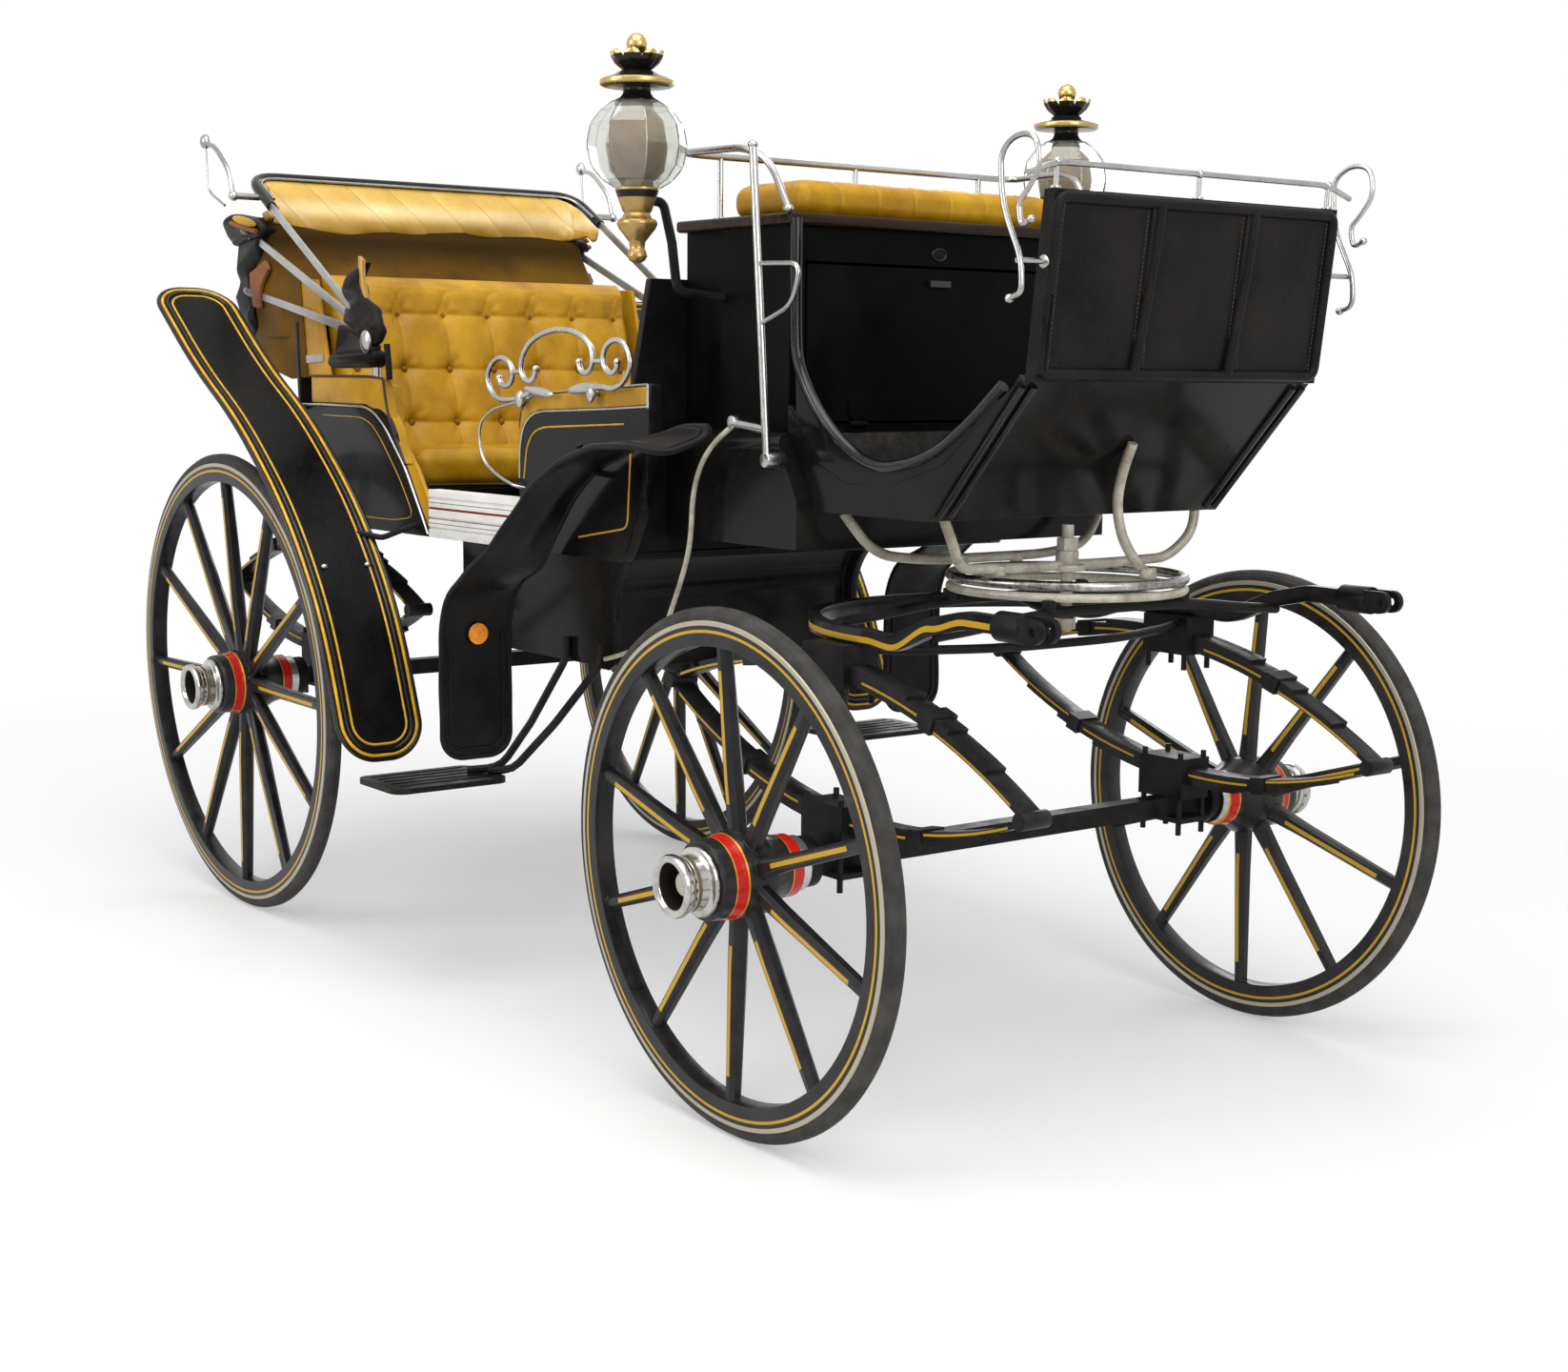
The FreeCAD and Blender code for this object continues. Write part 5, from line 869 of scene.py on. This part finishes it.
# ------------ lamps
# Each lamp is a globe of eight bent panes in a spun case.  Its stem is turned brass under dull gold
# lacquer, its cap black with a gilt brim and a crown of eight black leaves round a gilt ball.
gilt = new_finish("lamp_gilt", (0.3, 0.19, 0.06), (0.52, 0.36, 0.13), (0.24, 0.42), patch=22, grain=600,
    relief=0.00008, metal=0.75)
lay(gilt, mask(gilt, ("z", 1.645, 0.0065)), (0.012, 0.011, 0.01), 0.3)
lay(gilt, mask(gilt, ("z", 1.735, 0.0785)), (0.3, 0.26, 0.17), 0.5)
dress(gilt, "lamp_bodies")
soften(0.001, "lamp_bodies", "lamp_caps")
lacquer = new_finish("black_lacquer", (0.004, 0.004, 0.004), (0.016, 0.014, 0.012), (0.18, 0.36), patch=16,
    relief=0.0001, coat=0.3, gleam=0.1)
lay(lacquer, mask(lacquer, ("z", 1.845, 0.0062)), (0.46, 0.33, 0.12), 0.3, 0.8)
lay(lacquer, mask(lacquer, ("z", 1.914, 0.0205)), (0.55, 0.38, 0.13), 0.24, 0.9)
dress(lacquer, "lamp_caps")
glass = new_finish("lamp_glass", (0.8, 0.82, 0.78), (0.92, 0.93, 0.9), (0.02, 0.06), patch=9, relief=0.00003)
for key, value in (("Transmission Weight", 0.94), ("IOR", 1.35), ("Coat Weight", 0.3)):
    glass["shader"].inputs[key].default_value = value
dress(glass, "lamp_globes")
leads = new_finish("pane_leads", (0.2, 0.19, 0.17), (0.45, 0.44, 0.41), (0.2, 0.4), patch=60, metal=0.8)
chimney = new_finish("amber_chimney", (0.12, 0.07, 0.016), (0.3, 0.19, 0.055), (0.25, 0.45), patch=14, relief=0.0001)
profile = mm((136, 42), (150, 66), (175, 86), (212, 94), (250, 87), (277, 66), (293, 42))
for side, sign in SIDES:
    cx, cy, cz = 0.5815, sign * 0.545, 1.52
    seams = []
    for k in range(8):
        a = 2 * pi * (k + 0.5) / 8
        seams.append(bar([(cx + r * 1.004 * cos(a), cy + r * 1.004 * sin(a), cz + z) for z, r in profile], 0.0011,
            0.012, sides=1))
    finished(f"lamp_leads_{side}", seams, leads)
    wick = [disc((cx, cy, cz + 0.162), 0.02, 0.05, 0.003), disc((cx, cy, cz + 0.214), 0.011, 0.06, 0.003)]
    finished(f"lamp_candle_{side}", wick, gilt)
    finished(f"lamp_chimney_{side}", [lathe(mm((-61, 0), (-61, 34), (-45, 50), (0, 57), (45, 50), (61, 34), (61, 0)),
        (cx, cy, cz + 0.212), ACROSS, 40)], chimney)
    leaf_rows = mm((345, 20, 10), (352, 30, 14), (360, 40, 16.5), (370, 46.5, 15), (378, 49, 9), (380, 49.5, 2))
    leaves = []
    for k in range(8):
        a = 2 * pi * k / 8

        def place(u, v):
            s, t = u * (len(leaf_rows) - 1), 2 * v - 1
            row = min(len(leaf_rows) - 2, int(s))
            rise, reach, half = [p + (q - p) * (s - row) for p, q in zip(leaf_rows[row], leaf_rows[row + 1])]
            reach -= 0.004 * t * t
            return (cx + reach * cos(a) - half * t * sin(a), cy + reach * sin(a) + half * t * cos(a),
                cz + rise + 0.002 * t * t)

        leaves.append(shaped(grid(5, 6, place), "SOLIDIFY", thickness=0.0016))
    finished(f"lamp_crown_{side}", leaves, lacquer, smooth=60)

# ------------ folded hood
# The hood is folded back on its three bows.  Each bow is an ash hoop covered in black hide, hinged
# on plated side irons; the front one has a plated bead.  A yellow lining hangs from it in a long
# drooping roll, and the leather and the amber side lining are packed between the bows.
HOOD_X, HOOD_Z, HINGE_Y = -0.6035, 1.385, 0.486
BOWS = ((30.5, 0.822, 0.66), (21.0, 0.85, 0.74), (10.0, 0.8, 0.69))


def by_bow(lean, reach, rise=0.0):
    """The (x, z) place at a reach along a bow's lean, a little above its line."""
    c, s = cos(radians(lean)), sin(radians(lean))
    return HOOD_X - c * reach + s * rise, HOOD_Z + s * reach + c * rise


hoops, irons = [], []
for k, (lean, reach, knee_reach) in enumerate(BOWS):
    (tx, tz), (kx, kz) = by_bow(lean, reach), by_bow(lean, knee_reach)
    half = 0.488 - 0.006 * (k + 1)
    hoops.append(bar(whole([(kx, half, kz), (tx, half, tz)]), 0.013, 0.11, sides=4))
    for sign in (-1, 1):
        irons.append(plate([by_bow(lean, 0.03, -0.0105), by_bow(lean, knee_reach + 0.008, -0.0092),
            by_bow(lean, knee_reach + 0.008, 0.0092), by_bow(lean, 0.03, 0.0105)], 0.0062, 0.001,
            sign * (half + 0.001 * (1 - k))))
for sign in (-1, 1):
    irons.append(plate(mm((-932, 1339), (-1265, 1324), (-1265, 1343), (-932, 1358)), 0.006, 0.001, sign * 0.462))
finished("hood_hoops", hoops, gloss_black)
slat_metal = new_finish("slat_metal", (0.3, 0.3, 0.29), (0.46, 0.46, 0.44), (0.28, 0.42), patch=7, grain=200,
    relief=0.00002, metal=0.7)
finished("hood_side_irons", irons, slat_metal)
(tx, tz), (kx, kz) = by_bow(30.5, 0.822), by_bow(30.5, 0.69)
bead = bar(whole([(kx + 0.012, 0.4685, kz + 0.004), (tx + 0.0135, 0.4685, tz - 0.002)]), 0.0036, 0.1)
finished("hood_bead", [bead], silver)

lining = hide("lining_hide", (0.56, 0.33, 0.045), (0.7, 0.46, 0.1), grain=200, relief=0.0002, rough=(0.2, 0.34),
    gleam=0.5)
stuff = lining["stuff"]
# Painted shade: the lining darkens towards its hem, where its rolled underside turns away from the light.
lay(lining, ramp(stuff, lining["z"], 1.742, 1.668, 0, 0.85), (0.34, 0.165, 0.006), 0.3)
# Painted sheen: a pale band across the lining's middle, broken up by the broad patches, stands in for the light it
# catches.
near = calc(stuff, "ABSOLUTE", calc(stuff, "SUBTRACT", lining["z"], 1.728))
pale = ramp(stuff, near, 0.034, 0)
lay(lining, calc(stuff, "MULTIPLY", pale, calc(stuff, "MULTIPLY", lining["broad"], 1.3)), (0.86, 0.68, 0.36), 0.24)
# Painted shade: thin dark lines follow the pleats' valleys, where the creases fall in shade.
ruled = calc(stuff, "MULTIPLY", calc(stuff, "ADD", lining["y"], calc(stuff, "MULTIPLY", lining["z"], 0.9)), 8.6)
off = calc(stuff, "ABSOLUTE", calc(stuff, "SUBTRACT", ruled, calc(stuff, "ROUND", ruled)))
lay(lining, calc(stuff, "MULTIPLY", calc(stuff, "LESS_THAN", off, 0.012), 0.5), (0.22, 0.1, 0.012), 0.5)


def sheet_of(places, across, down):
    """A curved sheet: places(u, v) gives each point, u along and v down from 0 to 1."""
    sheet = grid(across, down, lambda u, v: places(u, 1 - v))
    return closed_up(shaped(sheet, "SOLIDIFY", thickness=0.003, offset=0))


def between(value, table):
    """A value read from a table of (at, value) pairs, with smooth steps."""
    for (a, low), (b, high) in zip(table, table[1:]):
        if value <= b:
            share = max(0.0, min(1.0, (value - a) / (b - a)))
            return low + (high - low) * share * share * (3 - 2 * share)
    return table[-1][1]


hung_from = bent([(tx + 0.12, -0.462, tz - 0.072), (tx + 0.006, -0.462, tz - 0.002), (tx + 0.006, 0.462, tz - 0.002),
    (tx + 0.16, 0.462, tz - 0.094)], 0.1)
hung_runs = runs_of(hung_from)
HEM = mm((-500, 1706), (-430, 1690), (-360, 1676), (-220, 1668), (-50, 1658), (100, 1650), (240, 1662), (360, 1675),
    (470, 1688), (560, 1700))


def lining_place(u, v):
    """The yellow lining: hung round the front bow, puffed between its pleats, its hem rolled under."""
    top = on_path(hung_from, hung_runs, u * hung_runs[-1])[0]
    ends = min(1.0, min(u, 1 - u) / 0.1)
    hem = min(top.z - 0.045, between(top.y, HEM) + 0.01 * (1 - ends))
    hem = top.z - (top.z - hem) * sqrt(1 - 0.96 * max(0.0, 1 - min(u, 1 - u) / 0.035) ** 2)
    drop = min(1.0, v / 0.86)
    turn = max(0.0, v - 0.86) / 0.14
    z = top.z - 0.004 - (top.z - hem) * drop - 0.008 * sin(pi * turn) + 0.014 * turn
    belly = 0.045 * sin(0.62 * pi * drop) * (0.35 + 0.65 * ends)
    pleat = (top.y + 0.9 * z) * 8.6
    near_pleat = abs(pleat - round(pleat)) * 2
    puff = 0.0095 * sqrt(near_pleat) * sin(pi * min(1.0, drop))
    wave = 0.012 * sin(9.0 * u + 1.4 + 4 * drop) * drop + 0.003 * sin(27 * u - 5 * drop) * drop ** 2
    sag = -0.01 * exp(-((u - 0.53) / 0.1) ** 2) * drop ** 3
    out = belly + puff + wave - 0.04 * turn
    side_way = 1.0 if abs(top.y) < 0.44 else 0.4
    inward = (-0.5 * out if top.y > 0 else 0.5 * out) * (1 - side_way)
    return top.x + out * side_way, top.y + inward, z + sag


finished("hood_lining", [sheet_of(lining_place, 200, 54)], lining, smooth=70)
amber_cloth = hide("amber_lining", (0.07, 0.032, 0.002), (0.15, 0.072, 0.004), grain=260, relief=0.0003,
    rough=(0.45, 0.7), gleam=0.06)
# Painted shade: the amber lining darkens towards its top, where the hanging yellow lining overhangs it.
lay(amber_cloth, ramp(amber_cloth["stuff"], amber_cloth["z"], 1.555, 1.645, 0, 0.85), (0.022, 0.011, 0.001), 0.6)

PACK = mm((-1125, 1398), (-1178, 1520), (-1255, 1655), (-1345, 1700), (-1435, 1690), (-1452, 1620), (-1425, 1560),
    (-1430, 1500), (-1400, 1395), (-1280, 1388))
outline = bent(side_view(0, PACK + PACK[:1]), 0.045)
pack_runs = runs_of(outline)
PACK_MIDDLE = Vector((-1.3, 0, 1.54))


def folded(u, share):
    """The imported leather: u runs across the carriage, share round the pack, which closes in at both ends."""
    p = on_path(outline, pack_runs, share * pack_runs[-1])[0]
    grow = sqrt(max(0.0, 1 - max(0.0, 1 - min(u, 1 - u) / 0.05) ** 2)) * 0.985 + 0.015
    behind = min(1.0, share / 0.3)
    fold = 0.016 * abs(sin(15 * pi * share + 0.8 * sin(5 * u))) + 0.006 * sin(19 * u + 7 * share)
    out = p - PACK_MIDDLE
    p = PACK_MIDDLE + out * grow + out.normalized() * (fold * behind - 0.012) * grow
    return p.x, (u - 0.5) * 0.925, p.z


pack = finished("hood_folds", [closed_up(grid(130, 180, folded))], black_hide, smooth=70)
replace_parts(pack, "hood_leather")


def screen_place(u, v):
    """The amber inner lining, wrapped round the front of the folds and a little way back along both ends."""
    z = 1.7 - 0.3 * v
    front = between(z, mm((1398, -1105), (1520, -1160), (1655, -1240), (1700, -1285))) + 0.006
    ripple = 0.007 * sin(15 * u + 3 * v) + 0.004 * sin(37 * u - 6 * v)
    back = (0.14 - min(u, 1 - u)) / 0.14
    if back > 0:
        out = 0.456 + 0.012 * min(1.0, back * 5) - ripple * 0.4
        return front - 0.165 * back, out if u > 0.5 else -out, z
    return front + ripple, -0.456 + 0.912 * (u - 0.14) / 0.72, z


finished("hood_inner_lining", [sheet_of(screen_place, 150, 24)], amber_cloth, smooth=60)


def rounded(shape, bend):
    """A closed outline with its corners rounded off."""
    return [(p.x, p.z) for p in bent(side_view(0, shape + shape[:1]), bend)[:-1]]


# Torn leather boots are bound round each hinge, with a plated oval cap over its pin.
BOOT_FLAPS = (
    (0.03, 0.004, mm((-658.2, 1565.6), (-689.2, 1555.9), (-720.8, 1540.6), (-753.6, 1506.1), (-742.5, 1473),
        (-690, 1463.7), (-650, 1400), (-620, 1375), (-578, 1375), (-570, 1415), (-596, 1457), (-645, 1487),
        (-666.1, 1522.8))),
    (0.04, 0.0, mm((-766, 1465), (-709.8, 1461.3), (-595.5, 1416.3), (-590, 1380), (-626.7, 1388),
        (-755.1, 1426.4))),
    (0.036, 0.0, mm((-780.5, 1424), (-743.1, 1412.6), (-614.8, 1387), (-583.5, 1375.9), (-584.2, 1350),
        (-792.8, 1355))),
    (0.044, 0.0, mm((-815.7, 1357.7), (-577.9, 1365.1), (-569.6, 1349.1), (-585.3, 1325.1), (-817.3, 1322.9),
        (-832.7, 1338.2))))
worn_flesh = hide("worn_flesh", (0.12, 0.038, 0.016), (0.3, 0.115, 0.035), grain=120, relief=0.0006,
    rough=(0.55, 0.8))
for side, sign in SIDES:
    folds = [plate(rounded(shape, 0.012), thick, 0.012, sign * (0.49 + out)) for thick, out, shape in BOOT_FLAPS]
    boot = finished(f"hinge_boot_{side}", folds, black_hide, smooth=70)
    for point in boot.data.vertices:
        x, y, z = point.co
        reach = hypot(x - HOOD_X, z - HOOD_Z)
        ripple = 0.007 * sin(34 * x + 21 * z) + 0.004 * sin(90 * z - 40 * x)
        point.co.y += sign * (ripple - 0.01 * min(1.0, reach / 0.2))
    torn = plate(mm((-672, 1580.3), (-655, 1571.5), (-655.6, 1534), (-642, 1495.8), (-636, 1470), (-645, 1468),
        (-663.6, 1491.2), (-670.4, 1529.5), (-672.2, 1556.4)), 0.012, 0.003, sign * 0.49)
    finished(f"hinge_boot_tear_{side}", [torn], worn_flesh if sign > 0 else lining, smooth=60)
    cap = ball((HOOD_X + 0.02, sign * 0.5235, HOOD_Z - 0.001), 0.026, (0.86, 0.36, 1), 24)
    finished(f"hinge_cap_{side}", [cap], silver, smooth=60)
    strap = bar(side_view(sign * HINGE_Y, ((HOOD_X + 0.052, 1.378), (HOOD_X + 0.06, 1.33), (HOOD_X + 0.062, 1.298))),
        0.0075, 0.02)
    finished(f"hinge_strap_{side}", [strap], black_hide)
    stay_y = sign * 0.558
    sx, sz, fx, fz = HOOD_X - 0.79, HOOD_Z + 0.5, HOOD_X - 0.623, HOOD_Z + 0.36
    bow = ((sx, sz), (sx + 0.06, sz - 0.012), (fx - 0.02, fz + 0.06), (fx, fz - 0.01))
    brace = ((sx + 0.002, sz - 0.006), (sx + 0.012, sz - 0.12), (fx - 0.055, fz - 0.02))
    stay = [bar(side_view(stay_y, bow), 0.0062, 0.12), bar(side_view(stay_y, brace), 0.0034, 0.03),
        ball((sx, stay_y, sz + 0.004), 0.0168, (1, 0.8, 1.1), 20), ball((fx, stay_y, fz), 0.0125),
        bar([(fx, stay_y, fz), (fx, sign * 0.49, fz)], 0.0085, 0), bar(side_view(sign * HINGE_Y,
        ((HOOD_X, 1.232), (HOOD_X, 1.385))), 0.0105, 0)]
    stay = finished(f"hood_stay_{side}", stay, silver)
    if side == "left":
        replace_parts(stay, "hood_stays", "hood_bows")

# Where the leather is packed at each end of the bows it is bunched in rolls, torn, and rubbed to its
# brown flesh; the mouth of the top roll shows the yellow inside.
TOP_ROLL = mm((-1462, 1658), (-1452, 1700), (-1400, 1715), (-1300, 1700), (-1225, 1672), (-1235, 1650),
    (-1330, 1640), (-1410, 1630))
LOWER_ROLL = mm((-1395, 1655), (-1245, 1655), (-1270, 1596), (-1331, 1560), (-1321, 1482), (-1300, 1425),
    (-1330, 1392), (-1390, 1420), (-1428, 1520), (-1392, 1560))
SHRED = mm((-1318, 1562), (-1262, 1578), (-1224, 1592), (-1205, 1568), (-1222, 1552), (-1250, 1530), (-1262, 1500),
    (-1258, 1470), (-1300, 1476), (-1316, 1520))
for side, sign in SIDES:
    y = sign * 0.468
    mass = [plate(rounded(TOP_ROLL, 0.02), 0.044, 0.014, y),
        plate(rounded(LOWER_ROLL, 0.02), 0.036, 0.014, y * 0.985)]
    bunch = finished(f"hood_bunches_{side}", mass, black_hide, smooth=70)
    for point in bunch.data.vertices:
        x, z = point.co.x, point.co.z
        point.co.y += sign * (0.006 * sin(60 * z + 22 * x) + 0.004 * sin(41 * x - 83 * z))
    mouth = ball((-1.318, sign * 0.492, 1.6905), 1.0, (0.072, 0.01, 0.0115), 24)
    mouth.rotation_euler = (0, 0.17, 0)
    finished(f"hood_roll_mouth_{side}", [mouth], yellow_hide, smooth=60)
    flesh = [bar([(-1.395, sign * 0.4935, 1.69), (-1.33, sign * 0.496, 1.676), (-1.245, sign * 0.4925, 1.662)],
        0.0062, 0.03)]
    flesh.append(plate(rounded(SHRED, 0.006), 0.012, 0.004, sign * 0.4765))
    finished(f"hood_torn_edges_{side}", flesh, worn_flesh, smooth=70)

# Amber hide closes the corner behind the slats, and yellow hide lines the door side of each arm.
CORNER = mm((-1365, 1345), (-1335, 1560), (-1055, 1548), (-1020, 1300), (-1115, 1296))
BACK_SIDE = mm((-1056, 1540), (-970, 1536), (-905, 1302), (-1022, 1302))
ARM_INSIDE = mm((-560, 1245), (-534, 1186), (-440, 1098), (-356, 990), (-352, 966), (-470, 966), (-520, 1050),
    (-575, 1100))
for side, sign in SIDES:
    for name, outline, thick, y, leather in (("corner_hide", CORNER, 0.008, 0.462, amber_cloth),
            ("seat_back_side", BACK_SIDE, 0.01, 0.457, yellow_hide),
            ("arm_lining", ARM_INSIDE, 0.01, 0.4665, yellow_hide)):
        finished(f"{name}_{side}", [plate(outline, thick, 0.003, sign * y)], leather)

# ------------ grab handles
# Each is bent from plated round bar into an arch between two scrolls, with flattened leaves, and
# stands off the front quarter on two lugs.  A thin guard rod runs from it to the door edge.
REAR_SCROLL = mm((-900, 1279), (-950, 1264), (-1021, 1259), (-1057, 1268), (-1078, 1289), (-1082, 1313),
    (-1063, 1337), (-1026, 1349), (-993, 1339), (-975, 1320), (-980, 1299), (-1001, 1287), (-1025, 1292),
    (-1033, 1306))
ARCH = mm((-884, 1325), (-888, 1309), (-908, 1297), (-933, 1304), (-944, 1321), (-939, 1349), (-911, 1376),
    (-865, 1393), (-812, 1402), (-750, 1400), (-699, 1386), (-672, 1366), (-667, 1342), (-674, 1324), (-695, 1315),
    (-714, 1321), (-719, 1339))
FRONT_SCROLL = mm((-581, 1339), (-581, 1324), (-599, 1315), (-624, 1324), (-632, 1344), (-624, 1366), (-599, 1380),
    (-566, 1379), (-542, 1361), (-532, 1337), (-540, 1316), (-562, 1296), (-599, 1286), (-636, 1291), (-740, 1284))
GUARD = mm((-955, 522, 1258), (-1064, 522, 1240), (-1113, 522, 1214), (-1120, 522, 1177), (-1102, 522, 1130),
    (-1042, 522, 1102), (-982, 516, 1084), (-968, 496, 1080))
for side, sign in SIDES:
    y = sign * 0.522
    work = [bar(side_view(y, [(x + FRONT_X, z) for x, z in shape]), 0.0056, 0.02)
        for shape in (REAR_SCROLL, ARCH, FRONT_SCROLL)]
    work += [ball((x + FRONT_X, y, z), 0.007) for x, z in (REAR_SCROLL[-1], ARCH[0], ARCH[-1], FRONT_SCROLL[0])]
    work.append(bar([(x + FRONT_X, sign * away, z) for x, away, z in GUARD], 0.0031, 0.03))
    for x, z in ((-0.95, 1.262), (-0.676, 1.278)):
        work.append(ball((x + FRONT_X, y, z), 0.0165, (0.85, 0.42, 1.12), 20))
        work.append(bar([(x + FRONT_X, y, z), (x + FRONT_X, sign * 0.492, z)], 0.0058, 0))
    for x0, x1, z, fall in ((-0.935, -0.818, 1.279, 0.1), (-0.764, -0.645, 1.287, -0.09)):
        blade = ball(((x0 + x1) / 2 + FRONT_X, y, z), 1.0, ((x1 - x0) / 2, 0.007, 0.0102), 24)
        blade.rotation_euler = (0, fall, 0)
        work.append(blade)
    for x, z in ((-0.958, 1.318), (-0.65, 1.34)):
        work.append(bar([(x + FRONT_X - 0.016, y, z), (x + FRONT_X + 0.016, y, z)], 0.0046, 0))
    made = finished(f"grab_handle_{side}", work, silver, smooth=50)
    if side == "left":
        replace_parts(made, "grab_handles")

# ------------ brake lever and cable
# A tall plated hand lever stands by the boot on the right, with a spring grip.  A cream sheathed
# cable hangs from its heel and goes down behind the front wheel to the well.
LEVER_Y = -0.43
lever = [bar(side_view(LEVER_Y, mm((834.5, 1163), (816.5, 1380), (785.5, 1728.5))), 0.0078, 0.3),
    bar(side_view(LEVER_Y, mm((806.5, 1516), (931.5, 1512), (906.5, 1440), (814.5, 1408))), 0.0048, 0.03),
    bar(side_view(LEVER_Y, ((0.8285, 1.218), (0.73, 1.2278))), 0.0085, 0),
    disc((0.8345, -0.415, 1.163), 0.0138, 0.044, 0.0025, ACROSS), disc((0.7315, LEVER_Y, 1.229), 0.0128, 0.0155,
    0.002, ACROSS), ball((0.7855, LEVER_Y, 1.7275), 0.0098, (1, 1, 0.85))]
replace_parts(finished("brake_hand_lever", lever, silver), "brake_lever")
sheath = new_finish("cream_sheath", (0.3, 0.28, 0.21), (0.55, 0.52, 0.42), (0.4, 0.6), patch=30, grain=400,
    relief=0.0002)
CABLE_END_Y = -0.335
route = [(-0.328, LEVER_Y, 1.222), (-0.402, LEVER_Y, 1.188), (-0.458, LEVER_Y, 1.105), (-0.464, LEVER_Y, 0.996),
    (-0.508, LEVER_Y + 0.008, 0.92), (-0.59, LEVER_Y + 0.034, 0.838), (-0.65, LEVER_Y + 0.062, 0.8),
    (-0.73, CABLE_END_Y, 0.772), (-0.863, CABLE_END_Y, 0.73), (-0.921, CABLE_END_Y, 0.716)]
route = [(x + FRONT_X, y, z) for x, y, z in route]
bpy.ops.curve.primitive_nurbs_path_add()
cable = bpy.context.object
cable.name = cable.data.name = "brake_cable_sheath"
cable.data.splines.clear()
run = cable.data.splines.new("NURBS")
run.points.add(len(route) - 1)
for point, place in zip(run.points, route):
    point.co = (*place, 1)
run.order_u, run.use_endpoint_u, run.resolution_u = 3, True, 16
cable.data.bevel_depth, cable.data.bevel_resolution, cable.data.use_fill_caps = 0.005, 4, True
cable.data.materials.append(sheath["stuff"])
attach(cable, "carriage_body")
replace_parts(cable, "brake_cable")


def spline_length(points, steps=400):
    """The length of the quadratic curve that the route's points steer."""
    count = len(points)
    knots = [0, 0, 0] + list(range(1, count - 2)) + [count - 2] * 3

    def at(t):
        k = min(int(t), count - 3) + 2
        work = [Vector(points[k - 2 + j]) for j in range(3)]
        for r in (1, 2):
            for j in range(2, r - 1, -1):
                low, high = knots[j + k - 2], knots[j + 1 + k - r]
                share = (t - low) / (high - low)
                work[j] = work[j - 1] * (1 - share) + work[j] * share
        return work[2]

    places = [at((count - 2) * k / steps) for k in range(steps + 1)]
    return sum((b - a).length for a, b in zip(places, places[1:]))


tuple(route[0])
spline_length(route)

# ------------ the studio
# A wide pale floor in a white surround, one broad soft lamp overhead and three weaker ones round
# the carriage.  The floor fades into the white surround a few metres away and keeps the shadow.
scene = bpy.context.scene
scene.view_settings.view_transform = "Standard"


def seen_directly(stuff):
    """1 for what the eye sees straight on, in a mirror or through glass."""
    ray = node(stuff, "LightPath")
    seen = calc(stuff, "ADD", ray.outputs["Is Camera Ray"], ray.outputs["Is Glossy Ray"])
    return calc(stuff, "MINIMUM", calc(stuff, "ADD", seen, ray.outputs["Is Transmission Ray"]), 1.0)


surround = bpy.data.worlds.new("studio")
scene.world = surround
surround.use_nodes = True
surround.node_tree.nodes.clear()
fill = node(surround, "Background", {"Color": (0.92, 0.95, 1.0, 1), "Strength": 0.62})
white = node(surround, "Background", {"Color": (1, 1, 1, 1), "Strength": 1.0})
both = node(surround, "MixShader", {0: seen_directly(surround), 1: fill.outputs[0], 2: white.outputs[0]})
node(surround, "OutputWorld", {"Surface": both.outputs[0]})

bpy.ops.mesh.primitive_plane_add(size=60, location=(0, 0, 0))
floor = bpy.context.object
floor.name = "floor"
pale = bpy.data.materials.new("pale_floor")
pale.use_nodes = True
plain = pale.node_tree.nodes["Principled BSDF"]
plain.inputs["Base Color"].default_value = (0.78, 0.77, 0.755, 1)
plain.inputs["Roughness"].default_value = 0.8
away = node(pale, "VectorMath", {0: node(pale, "TexCoord").outputs["Object"]}, operation="LENGTH").outputs["Value"]
fade = ramp(pale, away, 1.6, 5.0, 0.3)
glow = node(pale, "Emission", {"Color": (1, 1, 1, 1), "Strength": 1.0})
shown = node(pale, "MixShader", {0: calc(pale, "MULTIPLY", fade, seen_directly(pale)), 1: plain.outputs[0],
    2: glow.outputs[0]})
pale.node_tree.links.new(shown.outputs[0], pale.node_tree.nodes["Material Output"].inputs["Surface"])
floor.data.materials.append(pale)

for lamp_name, place, power, size in (("overhead_lamp", (1.5, -1.5, 6.0), 300, 5.0),
        ("front_lamp", (6.5, -1.0, 3.2), 130, 3.0), ("side_lamp", (-1.0, -6.5, 3.4), 150, 3.0),
        ("far_lamp", (-4.0, 5.5, 3.5), 110, 3.0)):
    bpy.ops.object.light_add(type="AREA", location=place)
    lamp = bpy.context.object
    lamp.name = lamp_name
    lamp.data.energy = power
    lamp.data.size = size
    lamp.rotation_euler = (Vector((0, 0, 0.9)) - Vector(place)).to_track_quat("-Z", "Y").to_euler()

# The camera stands ahead of the carriage on its right side, a little above the wheels' height.
bpy.ops.object.camera_add(location=(4.0735, -2.831, 1.318))
camera = bpy.context.object
heading, dip, roll = 2.495, -0.1403, 0.0088
look = Vector((cos(heading) * cos(dip), sin(heading) * cos(dip), sin(dip)))
camera.rotation_euler = (look.to_track_quat("-Z", "Y").to_matrix() @ Matrix.Rotation(roll, 3, "Z")).to_euler()
camera.data.lens, camera.data.sensor_width = 50.67, 36
camera.data.clip_end = 200
scene.camera = camera
